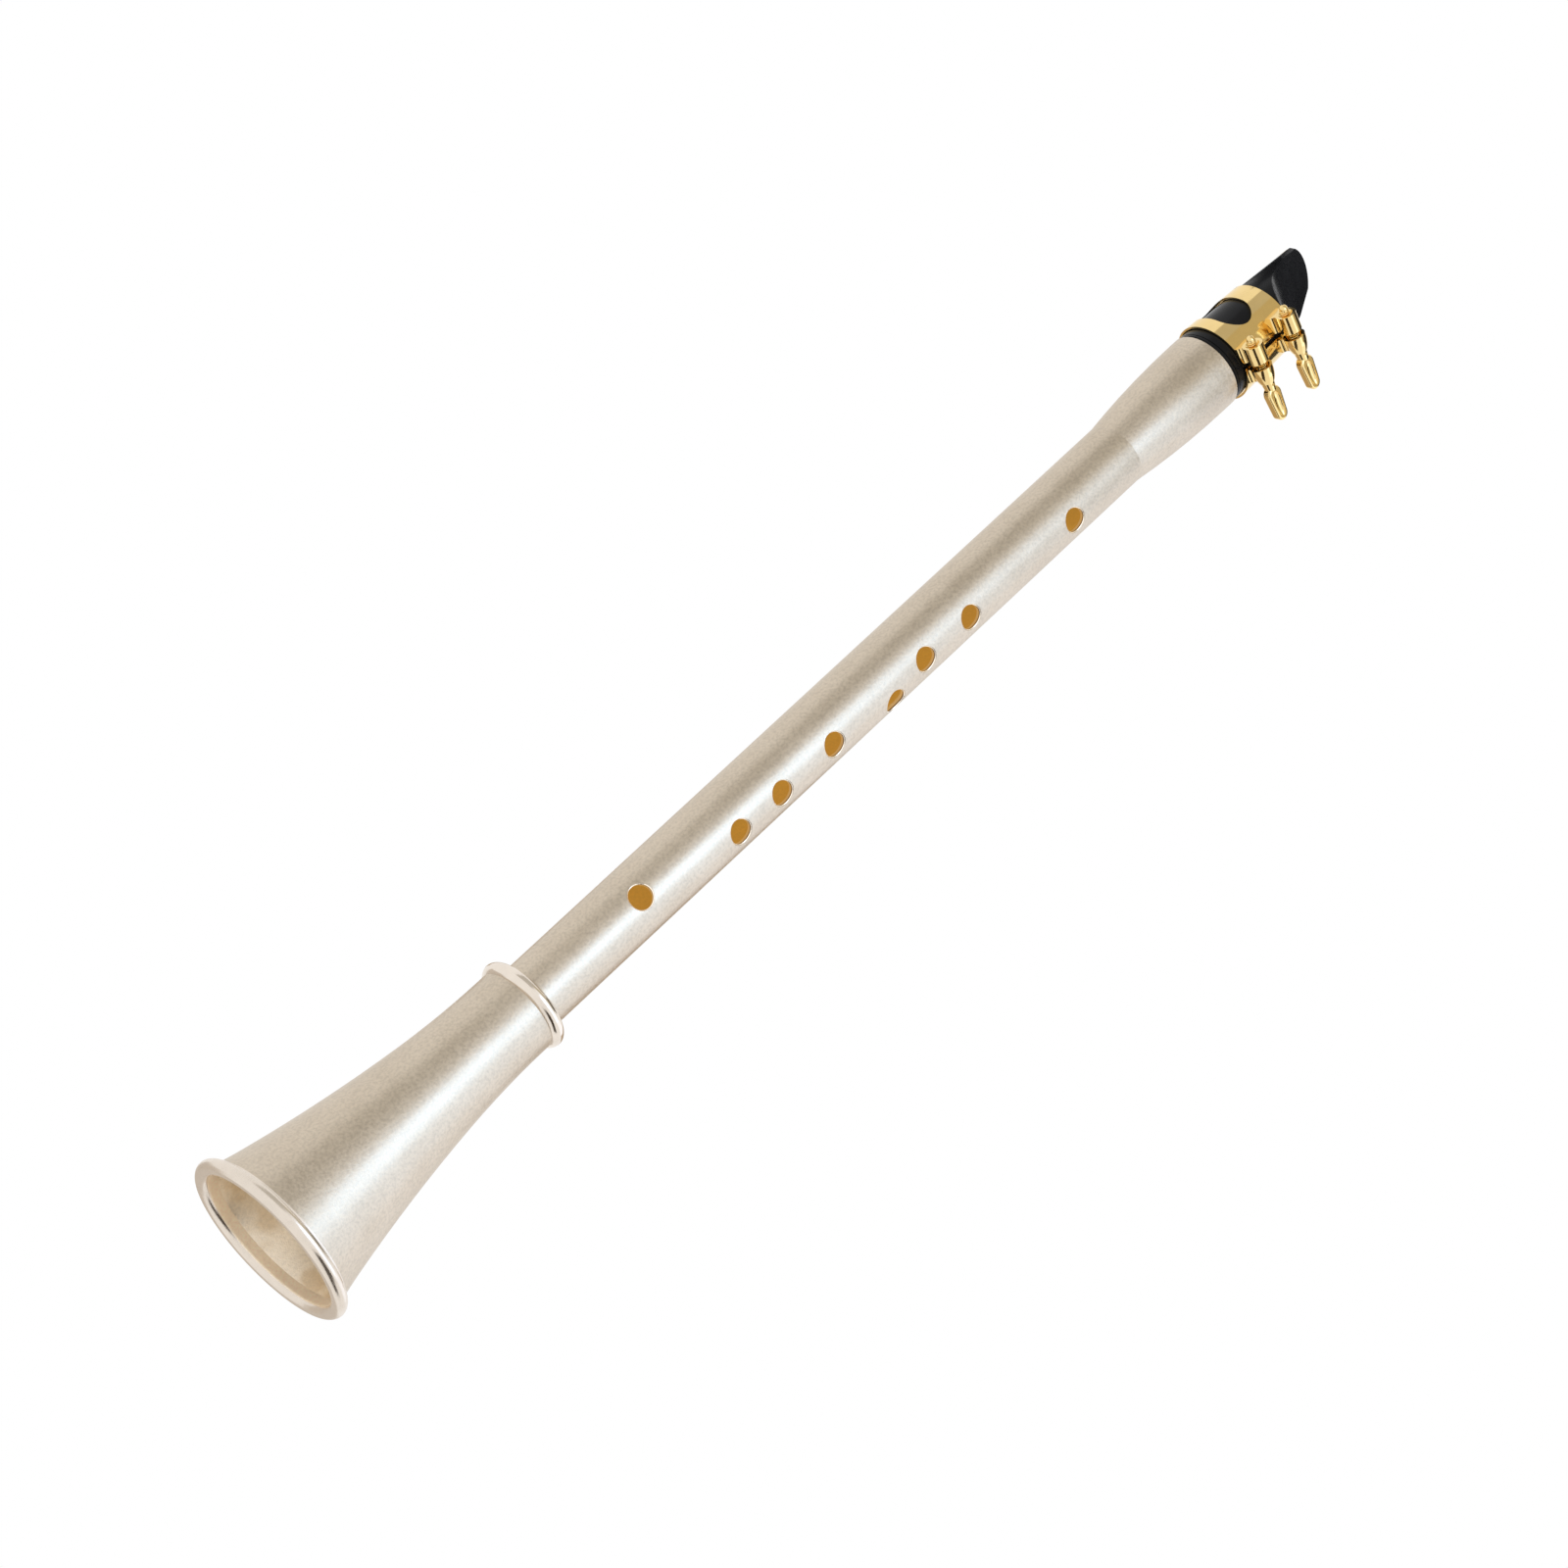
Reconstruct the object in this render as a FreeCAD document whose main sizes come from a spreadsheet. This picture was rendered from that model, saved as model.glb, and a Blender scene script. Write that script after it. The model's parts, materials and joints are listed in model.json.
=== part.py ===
import FreeCAD, Part
import Sketcher
import math
import os

# A pocket saxophone standing on its bell. Z runs up the bore from the middle of the bell's mouth
# to the tip of the mouthpiece, and the finger holes face -Y. The player's left is +X.

doc = FreeCAD.newDocument("PocketSaxophone")
sheet = doc.addObject("Spreadsheet::Sheet", "Sizes")

# Every driving size, in millimetres and degrees.
sizeRows = [
    # bell, from its mouth upwards
    ("mouth_bead_circle_radius", 24.66, "middle of the mouth bead, from the axis"),
    ("mouth_bead_radius", 2.16, "section of the mouth bead"),
    ("mouth_land_depth", 0.15, "how much of the bead is turned flat where it stands"),
    ("mouth_bead_wrap", 52, "degrees that the bead's outside wraps above its middle"),
    ("mouth_lip_height", 1.05, "thin lip above the bead"),
    ("mouth_lip_width", 1.66, "thin lip, inside to outside"),
    ("bell_wall", 1.3, "thickness of the bell"),
    ("bell_foot_radius", 23.8, "outside of the bell where it meets the mouth ring"),
    ("bell_low_radius", 22.0, "outside of the bell above its lip"),
    ("bell_low_height", 12.5, "height of that place"),
    ("bell_mid_radius", 14.28, "outside of the bell half way up"),
    ("bell_mid_drop", 35.3, "that place, down from the bell's upper edge"),
    ("bell_neck_radius", 12.71, "outside of the bell's straight neck"),
    ("bell_neck_length", 5.3, "straight neck, down from the bell's upper edge"),
    ("bell_height", 97.3, "upper edge of the bell"),
    # collar ring at the neck
    ("collar_circle_radius", 12.05, "middle of the collar bead, from the axis"),
    ("collar_bead_radius", 2.2, "section of the collar bead"),
    ("collar_bead_drop", 1.5, "middle of the bead below the bell's upper edge"),
    ("collar_lip_drop", 0.25, "fall of the collar's top towards the tube"),
    # bush between bell and tube, with its seals
    ("joint_depth", 23.3, "how far the tube goes into the bell"),
    ("bush_stop_height", 2.0, "stop ring under the tube"),
    ("seal_section_radius", 0.42, "section of a seal ring"),
    ("seal_groove_height", 1.0, "height of a seal's groove"),
    ("seal_groove_depth", 0.9, "depth of a seal's groove"),
    ("seal_inset", 6.0, "lower seal above the tube's end, upper seal below the neck"),
    # tube
    ("tube_radius", 10.0, "outside of the tube"),
    ("tube_wall", 1.5, "thickness of the tube"),
    ("tube_length", 315.3, "whole length of the tube with its head"),
    ("head_radius", 12.4, "outside of the swaged head"),
    ("head_length", 42.3, "head, from the tube's upper rim to the kink"),
    ("head_straight_length", 4.3, "straight part of the head at the rim"),
    ("socket_radius", 10.9, "socket for the tenon"),
    ("socket_depth", 19.3, "straight depth of the socket"),
    ("socket_taper_length", 18.0, "taper from the socket down to the bore"),
    ("rim_chamfer", 0.3, "broken edges of the tube's two ends"),
    # finger holes, measured down from the tube's upper rim
    ("finger_hole_radius", 3.6, "finger hole"),
    ("hole_bevel", 0.3, "bevel round every hole"),
    ("thumb_hole_radius", 3.0, "thumb hole on the back"),
    ("hole_one_drop", 71.9, "first finger hole"),
    ("hole_two_drop", 118.4, "second finger hole"),
    ("hole_three_drop", 138.0, "third finger hole"),
    ("side_hole_drop", 152.3, "hole turned to the player's left"),
    ("hole_four_drop", 177.0, "fourth hole of the row"),
    ("hole_five_drop", 198.7, "fifth hole of the row"),
    ("hole_six_drop", 215.8, "sixth hole of the row"),
    ("little_finger_hole_drop", 251.3, "lowest hole, turned to the player's right"),
    ("thumb_hole_drop", 65.3, "thumb hole"),
    ("side_hole_turn", 26, "degrees to the player's left"),
    ("little_finger_hole_turn", 36, "degrees to the player's right"),
    # fits
    ("seat_gap", 0.02, "between faces that seat on each other"),
    ("slide_clearance", 0.03, "radial play of the sliding joints"),
    ("push_clearance", 0.01, "play of pieces pushed together for good"),
    # mouthpiece, upwards from the tube's rim
    ("tenon_length", 18.3, "tenon, below the tube's rim"),
    ("tenon_radius", 10.2, "tenon under its cork"),
    ("tenon_lip_radius", 10.6, "lip at the tenon's end"),
    ("tenon_lip_height", 1.6, "height of that lip"),
    ("cork_length", 14.0, "cork sleeve on the tenon"),
    ("cork_play", 0.04, "cork to socket, as it is when worn in"),
    ("base_ring_radius", 12.15, "outside of the black base ring"),
    ("base_ring_height", 3.88, "height of the base ring"),
    ("base_ring_chamfer", 0.55, "lower edge of the base ring"),
    ("base_ring_groove", 0.25, "turned line in the base ring"),
    ("mouthpiece_low_radius", 11.95, "mouthpiece at the base ring"),
    ("mouthpiece_waist_radius", 11.4, "mouthpiece where the beak starts"),
    ("mouthpiece_waist_drop", 27.9, "that place, down from the tip"),
    ("mouthpiece_tip_radius", 9.6, "cone of the mouthpiece at the tip's height"),
    ("mouthpiece_bore_radius", 7.2, "bore of the mouthpiece"),
    ("beak_start_drop", 28.7, "where the beak breaks out of the body, down from the tip"),
    ("beak_start_depth", 11.6, "the same place, from the axis to the front"),
    ("beak_knee_drop", 17.9, "where the beak gets straight, down from the tip"),
    ("beak_knee_depth", 0.9, "the same place, from the axis to the front"),
    ("tip_depth", 5.5, "beak at the tip, from the axis to the back"),
    ("tip_thickness", 0.5, "thickness of the tip rail"),
    ("tip_opening", 1.2, "from the tip rail to the reed"),
    ("tip_half_width", 7.3, "half the width of the tip"),
    ("tip_curve_radius", 10.4, "curve of the tip, seen from the front"),
    ("tip_side_drop", 12.1, "where the sides run into the tip"),
    ("tip_side_half_width", 10.3, "half the width there"),
    ("facing_length", 21.0, "curved part of the table, from the tip down"),
    ("table_slope_share", 0.045, "slope of the table: its fall for each unit of height"),
    ("window_half_width", 5.4, "half the width of the window"),
    ("window_tip_drop", 3.6, "upper end of the window, below the tip"),
    ("window_length", 26.5, "length of the window"),
    ("chamber_drop", 35.9, "floor of the chamber, below the tip"),
    ("chamber_half_depth", 5.4, "half the depth of the chamber"),
    ("baffle_wall", 1.5, "wall between beak and baffle"),
    # reed
    ("reed_length", 48.6, "reed"),
    ("reed_tip_gap", 0.7, "reed's tip below the mouthpiece's tip"),
    ("reed_heel_gap", 2.4, "reed's heel above the base ring"),
    ("reed_back_radius", 11.3, "round back of the reed"),
    ("reed_heel_half_width", 6.2, "half the width of the heel"),
    ("reed_tip_half_width", 6.5, "half the width of the tip"),
    ("reed_tip_thickness", 0.3, "thickness of the tip"),
    ("reed_stock_length", 22.5, "part of the reed with its bark"),
    # ligature
    ("ligature_height", 23.1, "height of the band"),
    ("ligature_gap", 0.1, "band above the base ring"),
    ("ligature_low_radius", 12.45, "inside of the band at its lower edge"),
    ("ligature_top_radius", 11.5, "inside of the band at its upper edge"),
    ("ligature_wall", 0.6, "thickness of the band"),
    ("ligature_turn", 4, "degrees that the band is turned to the player's right"),
    ("ligature_slot_width", 1.6, "slot of the band"),
    ("ligature_window_rise", 10.5, "middle of the side windows above the band's lower edge"),
    ("ligature_window_half_height", 5.8, "half the height of a side window"),
    ("ligature_window_half_length", 9.5, "half the length of a side window"),
    ("ligature_window_shift", 0.2, "middle of the windows, from the axis to the back"),
    # thumb screws and their posts
    ("screw_depth", 16.8, "screw axis in front of the bore's axis"),
    ("lower_screw_rise", 2.8, "lower screw above the band's lower edge"),
    ("upper_screw_rise", 18.6, "upper screw above the band's lower edge"),
    ("post_radius", 3.15, "threaded post"),
    ("post_length", 5.9, "threaded post"),
    ("post_gap", 0.95, "from the middle of the slot to a post"),
    ("post_sink_radius", 2.2, "countersink at the post's outer end"),
    ("post_sink_depth", 1.0, "depth of the countersink"),
    ("foot_half_height", 1.7, "half the height of a post's foot"),
    ("foot_flare_height", 1.1, "how much taller the foot gets on each side at the band"),
    ("foot_flare_depth", 12.6, "where the flare ends, in front of the bore's axis"),
    ("foot_inset", 0.7, "foot shorter than its post at the outer end"),
    ("cup_mouth_radius", 3.4, "cup post at its mouth"),
    ("cup_base_radius", 2.3, "cup post at its base"),
    ("cup_length", 5.6, "cup post"),
    ("cup_wall", 0.75, "wall of the cup post"),
    ("cup_floor", 2.4, "thickness of the cup's floor"),
    ("screw_radius", 1.3, "shaft of a thumb screw"),
    ("screw_play", 0.04, "screw to the posts"),
    ("screw_reach", 2.9, "screw beyond the threaded post"),
    ("shank_radius", 2.1, "shank of the wing at the cup"),
    ("shank_length", 3.0, "shank of the wing"),
    ("shank_end_radius", 1.7, "shank where it runs into the paddle"),
    ("shank_overlap", 1.2, "shank's end inside the paddle"),
    ("pin_inset", 0.9, "wing pin from the cup"),
    ("paddle_length", 11.6, "paddle, from its root to its end"),
    ("paddle_root_radius", 2.75, "half the width of the paddle near the shank"),
    ("paddle_end_radius", 2.2, "half the width of the paddle at its end"),
    ("paddle_thickness", 2.9, "paddle"),
    ("scoop_half_width", 1.55, "half the width of the scoop in each face of the paddle"),
    ("scoop_half_length", 4.5, "half the length of a scoop"),
    ("scoop_depth", 0.95, "depth of a scoop"),
    ("paddle_edge_fillet", 0.75, "rounded edges of the paddle"),
    ("wing_pin_radius", 0.42, "pin across shank and screw"),
    # how far cuts run past what they cut
    ("overrun", 6.0, "every cut's overrun"),
]

for row, (alias, value, meaning) in enumerate(sizeRows, start=1):
    sheet.set("A%d" % row, alias.replace("_", " "))
    sheet.set("B%d" % row, str(value))
    sheet.set("C%d" % row, meaning)
    sheet.setAlias("B%d" % row, alias)
doc.recompute()


def number(thing):
    return thing.value if isinstance(thing, Size) else float(thing)


class Size:
    """A number from the sheet, together with the expression that gives it."""

    def __init__(self, value, text):
        self.value = float(value)
        self.text = text

    def joined(self, other, sign, value):
        right = other.text if isinstance(other, Size) else repr(other)
        return Size(value, "(%s %s %s)" % (self.text, sign, right))

    def __add__(self, other):
        return self.joined(other, "+", self.value + number(other))

    def __sub__(self, other):
        return self.joined(other, "-", self.value - number(other))

    def __mul__(self, other):
        return self.joined(other, "*", self.value * number(other))

    def __truediv__(self, other):
        return self.joined(other, "/", self.value / number(other))

    def __neg__(self):
        return Size(-self.value, "(-1 * %s)" % self.text)

    def root(self):
        return Size(math.sqrt(self.value), "sqrt(%s)" % self.text)


class Sizes:
    pass


s = Sizes()
for alias, value, meaning in sizeRows:
    setattr(s, alias, Size(value, "Sizes." + alias))

nothing = Size(0, "0")


def cosine(angle):
    return Size(math.cos(math.radians(angle.value)), "cos(%s * 1 deg)" % angle.text)


def sine(angle):
    return Size(math.sin(math.radians(angle.value)), "sin(%s * 1 deg)" % angle.text)


def bind(thing, name, size):
    thing.setExpression(name, size.text)


# Levels along the bore, each from the sizes above.
bellMid = s.bell_height - s.bell_mid_drop
bellNeck = s.bell_height - s.bell_neck_length
tubeFoot = s.bell_height - s.joint_depth
tubeRim = tubeFoot + s.tube_length
headKink = tubeRim - s.head_length
boreRadius = s.tube_radius - s.tube_wall
tenonFoot = tubeRim - s.tenon_length
ringFoot = tubeRim + s.seat_gap
shoulder = ringFoot + s.base_ring_height
mouthpieceLength = s.reed_tip_gap + s.reed_length + s.reed_heel_gap
tip = shoulder + mouthpieceLength
bandFoot = shoulder + s.ligature_gap
bandTop = bandFoot + s.ligature_height
tableAtTip = s.tip_depth + s.tip_thickness + s.tip_opening
tableAtShoulder = tableAtTip + mouthpieceLength * s.table_slope_share
tableAtBandTop = tableAtTip + (tip - bandTop) * s.table_slope_share


class Outline:
    """A closed outline of lines and arcs, whose corners are bound to the sheet."""

    def __init__(self, x, y):
        self.corners = [(x, y)]
        self.edges = []

    def line(self, x, y):
        self.corners.append((x, y))
        self.edges.append(("line", None, True))
        return self

    def arc(self, x, y, radius, left):
        """An arc of under a half turn, with its middle on the left or right of the way."""
        self.corners.append((x, y))
        self.edges.append(("arc", radius, left))
        return self

    def smooth(self, x, y):
        """An arc that carries on in the direction of what comes before it."""
        self.corners.append((x, y))
        self.edges.append(("smooth", None, True))
        return self

    def close(self):
        return self.line(*self.corners[0])

    def draw(self, sketch):
        places = [FreeCAD.Vector(number(x), number(y), 0) for x, y in self.corners]
        geometry = []
        ends = []
        heading = None
        for index, (kind, radius, left) in enumerate(self.edges):
            here = places[index]
            there = places[index + 1]
            chord = there - here
            if kind == "line":
                geometry.append(Part.LineSegment(here, there))
                ends.append((1, 2))
                heading = FreeCAD.Vector(chord).normalize()
                continue
            if kind == "arc":
                across = FreeCAD.Vector(-chord.y, chord.x, 0).normalize()
                away = math.sqrt(max(radius.value ** 2 - chord.Length ** 2 / 4, 0))
                centre = (here + there) * 0.5 + across * (away if left else -away)
            else:
                side = FreeCAD.Vector(-heading.y, heading.x, 0)
                reach = chord.dot(chord) / (2 * chord.dot(side))
                centre = here + side * reach
                left = reach > 0
            spoke = there - centre
            first = math.atan2(here.y - centre.y, here.x - centre.x)
            last = math.atan2(spoke.y, spoke.x)
            circle = Part.Circle(centre, FreeCAD.Vector(0, 0, 1), spoke.Length)
            if left:
                geometry.append(Part.ArcOfCircle(circle, first, last))
                ends.append((1, 2))
                heading = FreeCAD.Vector(-spoke.y, spoke.x, 0).normalize()
            else:
                geometry.append(Part.ArcOfCircle(circle, last, first))
                ends.append((2, 1))
                heading = FreeCAD.Vector(spoke.y, -spoke.x, 0).normalize()
        sketch.addGeometry(geometry, False)
        count = len(self.edges)
        for index in range(count):
            after = (index + 1) % count
            kind = "Tangent" if self.edges[after][0] == "smooth" else "Coincident"
            sketch.addConstraint(
                Sketcher.Constraint(kind, index, ends[index][1], after, ends[after][0]))
        for index in range(count):
            placePoint(sketch, index, ends[index][0], *self.corners[index])
            if self.edges[index][0] == "arc":
                radius = self.edges[index][1]
                placed = Sketcher.Constraint("Radius", index, radius.value)
                bindConstraint(sketch, placed, "r%d" % index, radius)


def bindConstraint(sketch, constraint, name, size):
    index = sketch.addConstraint(constraint)
    sketch.renameConstraint(index, name)
    bind(sketch, "Constraints." + name, size)


def placePoint(sketch, index, point, x, y):
    """Ties a point of the sketch to two sizes, or to an axis where a size is nothing."""
    for kind, name, size, axis in (("DistanceX", "x%d" % index, x, -2),
                                   ("DistanceY", "y%d" % index, y, -1)):
        if size is nothing:
            sketch.addConstraint(Sketcher.Constraint("PointOnObject", index, point, axis))
        else:
            placed = Sketcher.Constraint(kind, -1, 1, index, point, number(size))
            bindConstraint(sketch, placed, name, size)


def originPlane(body, role):
    for feature in body.Origin.OriginFeatures:
        if feature.Role == role:
            return feature
    raise RuntimeError("no plane " + role)


def newBody(label):
    body = doc.addObject("PartDesign::Body", label)
    body.Label = label
    return body


def newSketch(body, role, name, outlines=(), circles=(), turn=None, forward=None):
    """A sketch on one of the body's own planes, turned about the bore or moved forward."""
    sketch = body.newObject("Sketcher::SketchObject", name)
    sketch.AttachmentSupport = (originPlane(body, role), [""])
    sketch.MapMode = "FlatFace"
    if turn is not None:
        # A sketch on the XZ plane has the bore's axis as its own Y axis.
        sketch.AttachmentOffset = FreeCAD.Placement(
            FreeCAD.Vector(0, 0, 0), FreeCAD.Rotation(FreeCAD.Vector(0, 1, 0), turn.value))
        sketch.setExpression("AttachmentOffset.Rotation.Angle", turn.text + " * 1 deg")
    if forward is not None:
        bind(sketch, "AttachmentOffset.Base.z", forward)
    for outline in outlines:
        outline.draw(sketch)
    for index, (x, y, radius) in enumerate(circles):
        middle = FreeCAD.Vector(number(x), number(y), 0)
        sketch.addGeometry(
            Part.Circle(middle, FreeCAD.Vector(0, 0, 1), number(radius)), False)
        placePoint(sketch, index, 3, x, y)
        placed = Sketcher.Constraint("Radius", index, number(radius))
        bindConstraint(sketch, placed, "r%d" % index, radius)
    sketch.Visibility = False
    return sketch


def addFeature(body, kind, name, profile, **bound):
    feature = body.newObject("PartDesign::" + kind, name)
    feature.Profile = profile
    for key, size in bound.items():
        bind(feature, key, size)
    return feature


def needsLess(body, before, name):
    doc.recompute()
    if body.Shape.Volume > before - 1e-6:
        raise RuntimeError(name + " cuts nothing")


def dressEdges(body, kind, name, edges, **bound):
    """A chamfer or fillet on these edges of the body as it is."""
    base = body.Tip
    feature = body.newObject("PartDesign::" + kind, name)
    feature.Base = (base, edges)
    for key, size in bound.items():
        bind(feature, key, size)
    doc.recompute()


def revolve(body, kind, name, profile):
    feature = addFeature(body, kind, name, profile)
    feature.ReferenceAxis = (profile, ["V_Axis"])
    feature.Angle = 360
    return feature


def turned(label, outlines=(), circles=()):
    """A body turned about the bore's axis from an outline in radius and height."""
    body = newBody(label)
    section = newSketch(body, "XZ_Plane", label + "_section", outlines, circles)
    revolve(body, "Revolution", label + "_turned", section)
    doc.recompute()
    return body


def cutWith(body, name, sketch, length, midplane=False, flipped=False):
    """A pocket from the sketch's plane, which has to take something away."""
    before = body.Shape.Volume
    pocket = addFeature(body, "Pocket", name, sketch, Length=length)
    pocket.Midplane = midplane
    pocket.Reversed = flipped
    needsLess(body, before, name)


def grooveWith(body, name, outline):
    """A groove turned about the bore's axis, which has to take something away."""
    before = body.Shape.Volume
    section = newSketch(body, "XZ_Plane", name + "_section", [outline])
    revolve(body, "Groove", name, section)
    needsLess(body, before, name)


def turnWhole(thing, angle):
    """Turns a whole piece about the bore's axis, to the player's right."""
    thing.Placement = FreeCAD.Placement(
        FreeCAD.Vector(0, 0, 0), FreeCAD.Rotation(FreeCAD.Vector(0, 0, 1), -angle.value))
    thing.setExpression("Placement.Rotation.Angle", "-1 * %s * 1 deg" % angle.text)


# Mouth ring: a bead turned flat where it stands, with a turned line and a thin lip above it.
beadMiddle = s.mouth_bead_radius - s.mouth_land_depth
landHalfWidth = (s.mouth_bead_radius * s.mouth_bead_radius - beadMiddle * beadMiddle).root()
beadInside = s.mouth_bead_circle_radius - s.mouth_bead_radius
beadWrapX = s.mouth_bead_circle_radius + s.mouth_bead_radius * cosine(s.mouth_bead_wrap)
beadWrapZ = beadMiddle + s.mouth_bead_radius * sine(s.mouth_bead_wrap)
lipOutside = beadInside + s.mouth_lip_width
mouthTop = beadWrapZ + s.mouth_lip_height
turned("bell_mouth_ring", [
    Outline(s.mouth_bead_circle_radius - landHalfWidth, nothing)
    .line(s.mouth_bead_circle_radius + landHalfWidth, nothing)
    .arc(beadWrapX, beadWrapZ, s.mouth_bead_radius, True)
    .line(lipOutside, beadWrapZ)
    .line(lipOutside, mouthTop)
    .line(beadInside, mouthTop)
    .line(beadInside, beadMiddle)
    .arc(s.mouth_bead_circle_radius - landHalfWidth, nothing, s.mouth_bead_radius, True)])

# Bell: straight neck, then three arcs that run smoothly into each other down to the mouth ring.
bell = turned("bell", [
    Outline(nothing, s.bell_height)
    .line(s.bell_neck_radius, s.bell_height)
    .line(s.bell_neck_radius, bellNeck)
    .smooth(s.bell_mid_radius, bellMid)
    .smooth(s.bell_low_radius, s.bell_low_height)
    .smooth(s.bell_foot_radius, mouthTop)
    .line(nothing, mouthTop)
    .close()])
neckInside = s.bell_neck_radius - s.bell_wall
footInside = s.bell_foot_radius - s.bell_wall
grooveWith(bell, "bell_inside", Outline(nothing, s.bell_height + s.overrun)
           .line(neckInside, s.bell_height + s.overrun)
           .line(neckInside, bellNeck)
           .smooth(s.bell_mid_radius - s.bell_wall, bellMid)
           .smooth(s.bell_low_radius - s.bell_wall, s.bell_low_height)
           .smooth(footInside, mouthTop)
           .line(footInside, mouthTop - s.overrun)
           .line(nothing, mouthTop - s.overrun)
           .close())

# Collar ring: one round bead that covers the upper edges of bell and bush.
collarInside = s.bell_neck_radius + s.push_clearance
collarMiddle = s.bell_height - s.collar_bead_drop
collarStep = collarInside - s.collar_circle_radius
collarFall = (s.collar_bead_radius * s.collar_bead_radius - collarStep * collarStep).root()
lipFoot = s.bell_height + s.push_clearance
slideInside = s.tube_radius + s.slide_clearance * 2
turned("bell_collar_ring", [
    Outline(collarInside, collarMiddle - collarFall)
    .arc(s.collar_circle_radius, collarMiddle + s.collar_bead_radius,
         s.collar_bead_radius, True)
    .line(slideInside, collarMiddle + s.collar_bead_radius - s.collar_lip_drop)
    .line(slideInside, lipFoot)
    .line(collarInside, lipFoot)
    .close()])

# Bush: fills the neck between bell and tube, with a stop under the tube and two seal grooves.
seatLevel = tubeFoot - s.seat_gap
bushFoot = seatLevel - s.bush_stop_height
bushFlare = (bellNeck - bushFoot) / (bellNeck - bellMid)
bushTopRadius = neckInside - s.push_clearance
bushFootRadius = bushTopRadius + (s.bell_mid_radius - s.bell_neck_radius) * bushFlare * bushFlare
stopInside = boreRadius + s.slide_clearance * 2
bushInside = s.tube_radius + s.slide_clearance
bush = turned("bell_bush", [
    Outline(stopInside, s.bell_height)
    .line(bushTopRadius, s.bell_height)
    .line(bushTopRadius, bellNeck)
    .smooth(bushFootRadius, bushFoot)
    .line(stopInside, bushFoot)
    .close()])
grooveWith(bush, "bush_seat", Outline(nothing, seatLevel)
           .line(bushInside, seatLevel)
           .line(bushInside, s.bell_height + s.overrun)
           .line(nothing, s.bell_height + s.overrun)
           .close())
sealLevels = {
    "seal_ring_lower": tubeFoot + s.seal_inset,
    "seal_ring_upper": s.bell_height - s.seal_inset,
}
sealCircle = bushInside + s.seal_section_radius
grooveHalf = s.seal_groove_height / 2
for name, level in sealLevels.items():
    grooveWith(bush, name + "_groove", Outline(s.tube_radius, level - grooveHalf)
               .line(bushInside + s.seal_groove_depth, level - grooveHalf)
               .line(bushInside + s.seal_groove_depth, level + grooveHalf)
               .line(s.tube_radius, level + grooveHalf)
               .close())
    turned(name, circles=[(sealCircle, level, s.seal_section_radius)])

# Tube: plain outside, swaged head with a kink below it, socket for the tenon, and its holes.
tube = turned("body_tube", [
    Outline(nothing, tubeRim)
    .line(s.head_radius - s.rim_chamfer, tubeRim)
    .line(s.head_radius, tubeRim - s.rim_chamfer)
    .line(s.head_radius, tubeRim - s.head_straight_length)
    .smooth(s.tube_radius, headKink)
    .line(s.tube_radius, tubeFoot + s.rim_chamfer)
    .line(s.tube_radius - s.rim_chamfer, tubeFoot)
    .line(nothing, tubeFoot)
    .close()])
socketFoot = tubeRim - s.socket_depth
grooveWith(tube, "tube_inside", Outline(nothing, tubeRim + s.overrun)
           .line(s.socket_radius, tubeRim + s.overrun)
           .line(s.socket_radius, socketFoot)
           .line(boreRadius, socketFoot - s.socket_taper_length)
           .line(boreRadius, tubeFoot - s.overrun)
           .line(nothing, tubeFoot - s.overrun)
           .close())
rowDrops = (s.hole_one_drop, s.hole_two_drop, s.hole_three_drop,
            s.hole_four_drop, s.hole_five_drop, s.hole_six_drop)
holeReach = s.tube_radius + s.overrun
holeSets = [
    ("row_of_holes", [(nothing, tubeRim - drop, s.finger_hole_radius) for drop in rowDrops],
     nothing, False),
    ("side_hole", [(nothing, tubeRim - s.side_hole_drop, s.finger_hole_radius)],
     s.side_hole_turn, False),
    ("little_finger_hole",
     [(nothing, tubeRim - s.little_finger_hole_drop, s.finger_hole_radius)],
     -s.little_finger_hole_turn, False),
    ("thumb_hole", [(nothing, tubeRim - s.thumb_hole_drop, s.thumb_hole_radius)],
     nothing, True),
]
for name, circles, turn, backwards in holeSets:
    ring = newSketch(tube, "XZ_Plane", name + "_circles", circles=circles, turn=turn)
    cutWith(tube, name, ring, holeReach, flipped=not backwards)


def outerHoleEdges(shape):
    """The edges where the holes break out through the tube's outside."""
    names = []
    for index, edge in enumerate(shape.Edges, start=1):
        spots = edge.discretize(9)
        onOutside = all(abs(math.hypot(spot.x, spot.y) - s.tube_radius.value) < 1e-3
                        for spot in spots)
        heights = [spot.z for spot in spots]
        tall = max(heights) - min(heights) > s.thumb_hole_radius.value / 2
        if onOutside and tall and max(heights) - min(heights) < s.tube_radius.value * 2:
            names.append("Edge%d" % index)
    return names


dressEdges(tube, "Chamfer", "hole_bevels", outerHoleEdges(tube.Shape), Size=s.hole_bevel)

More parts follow.
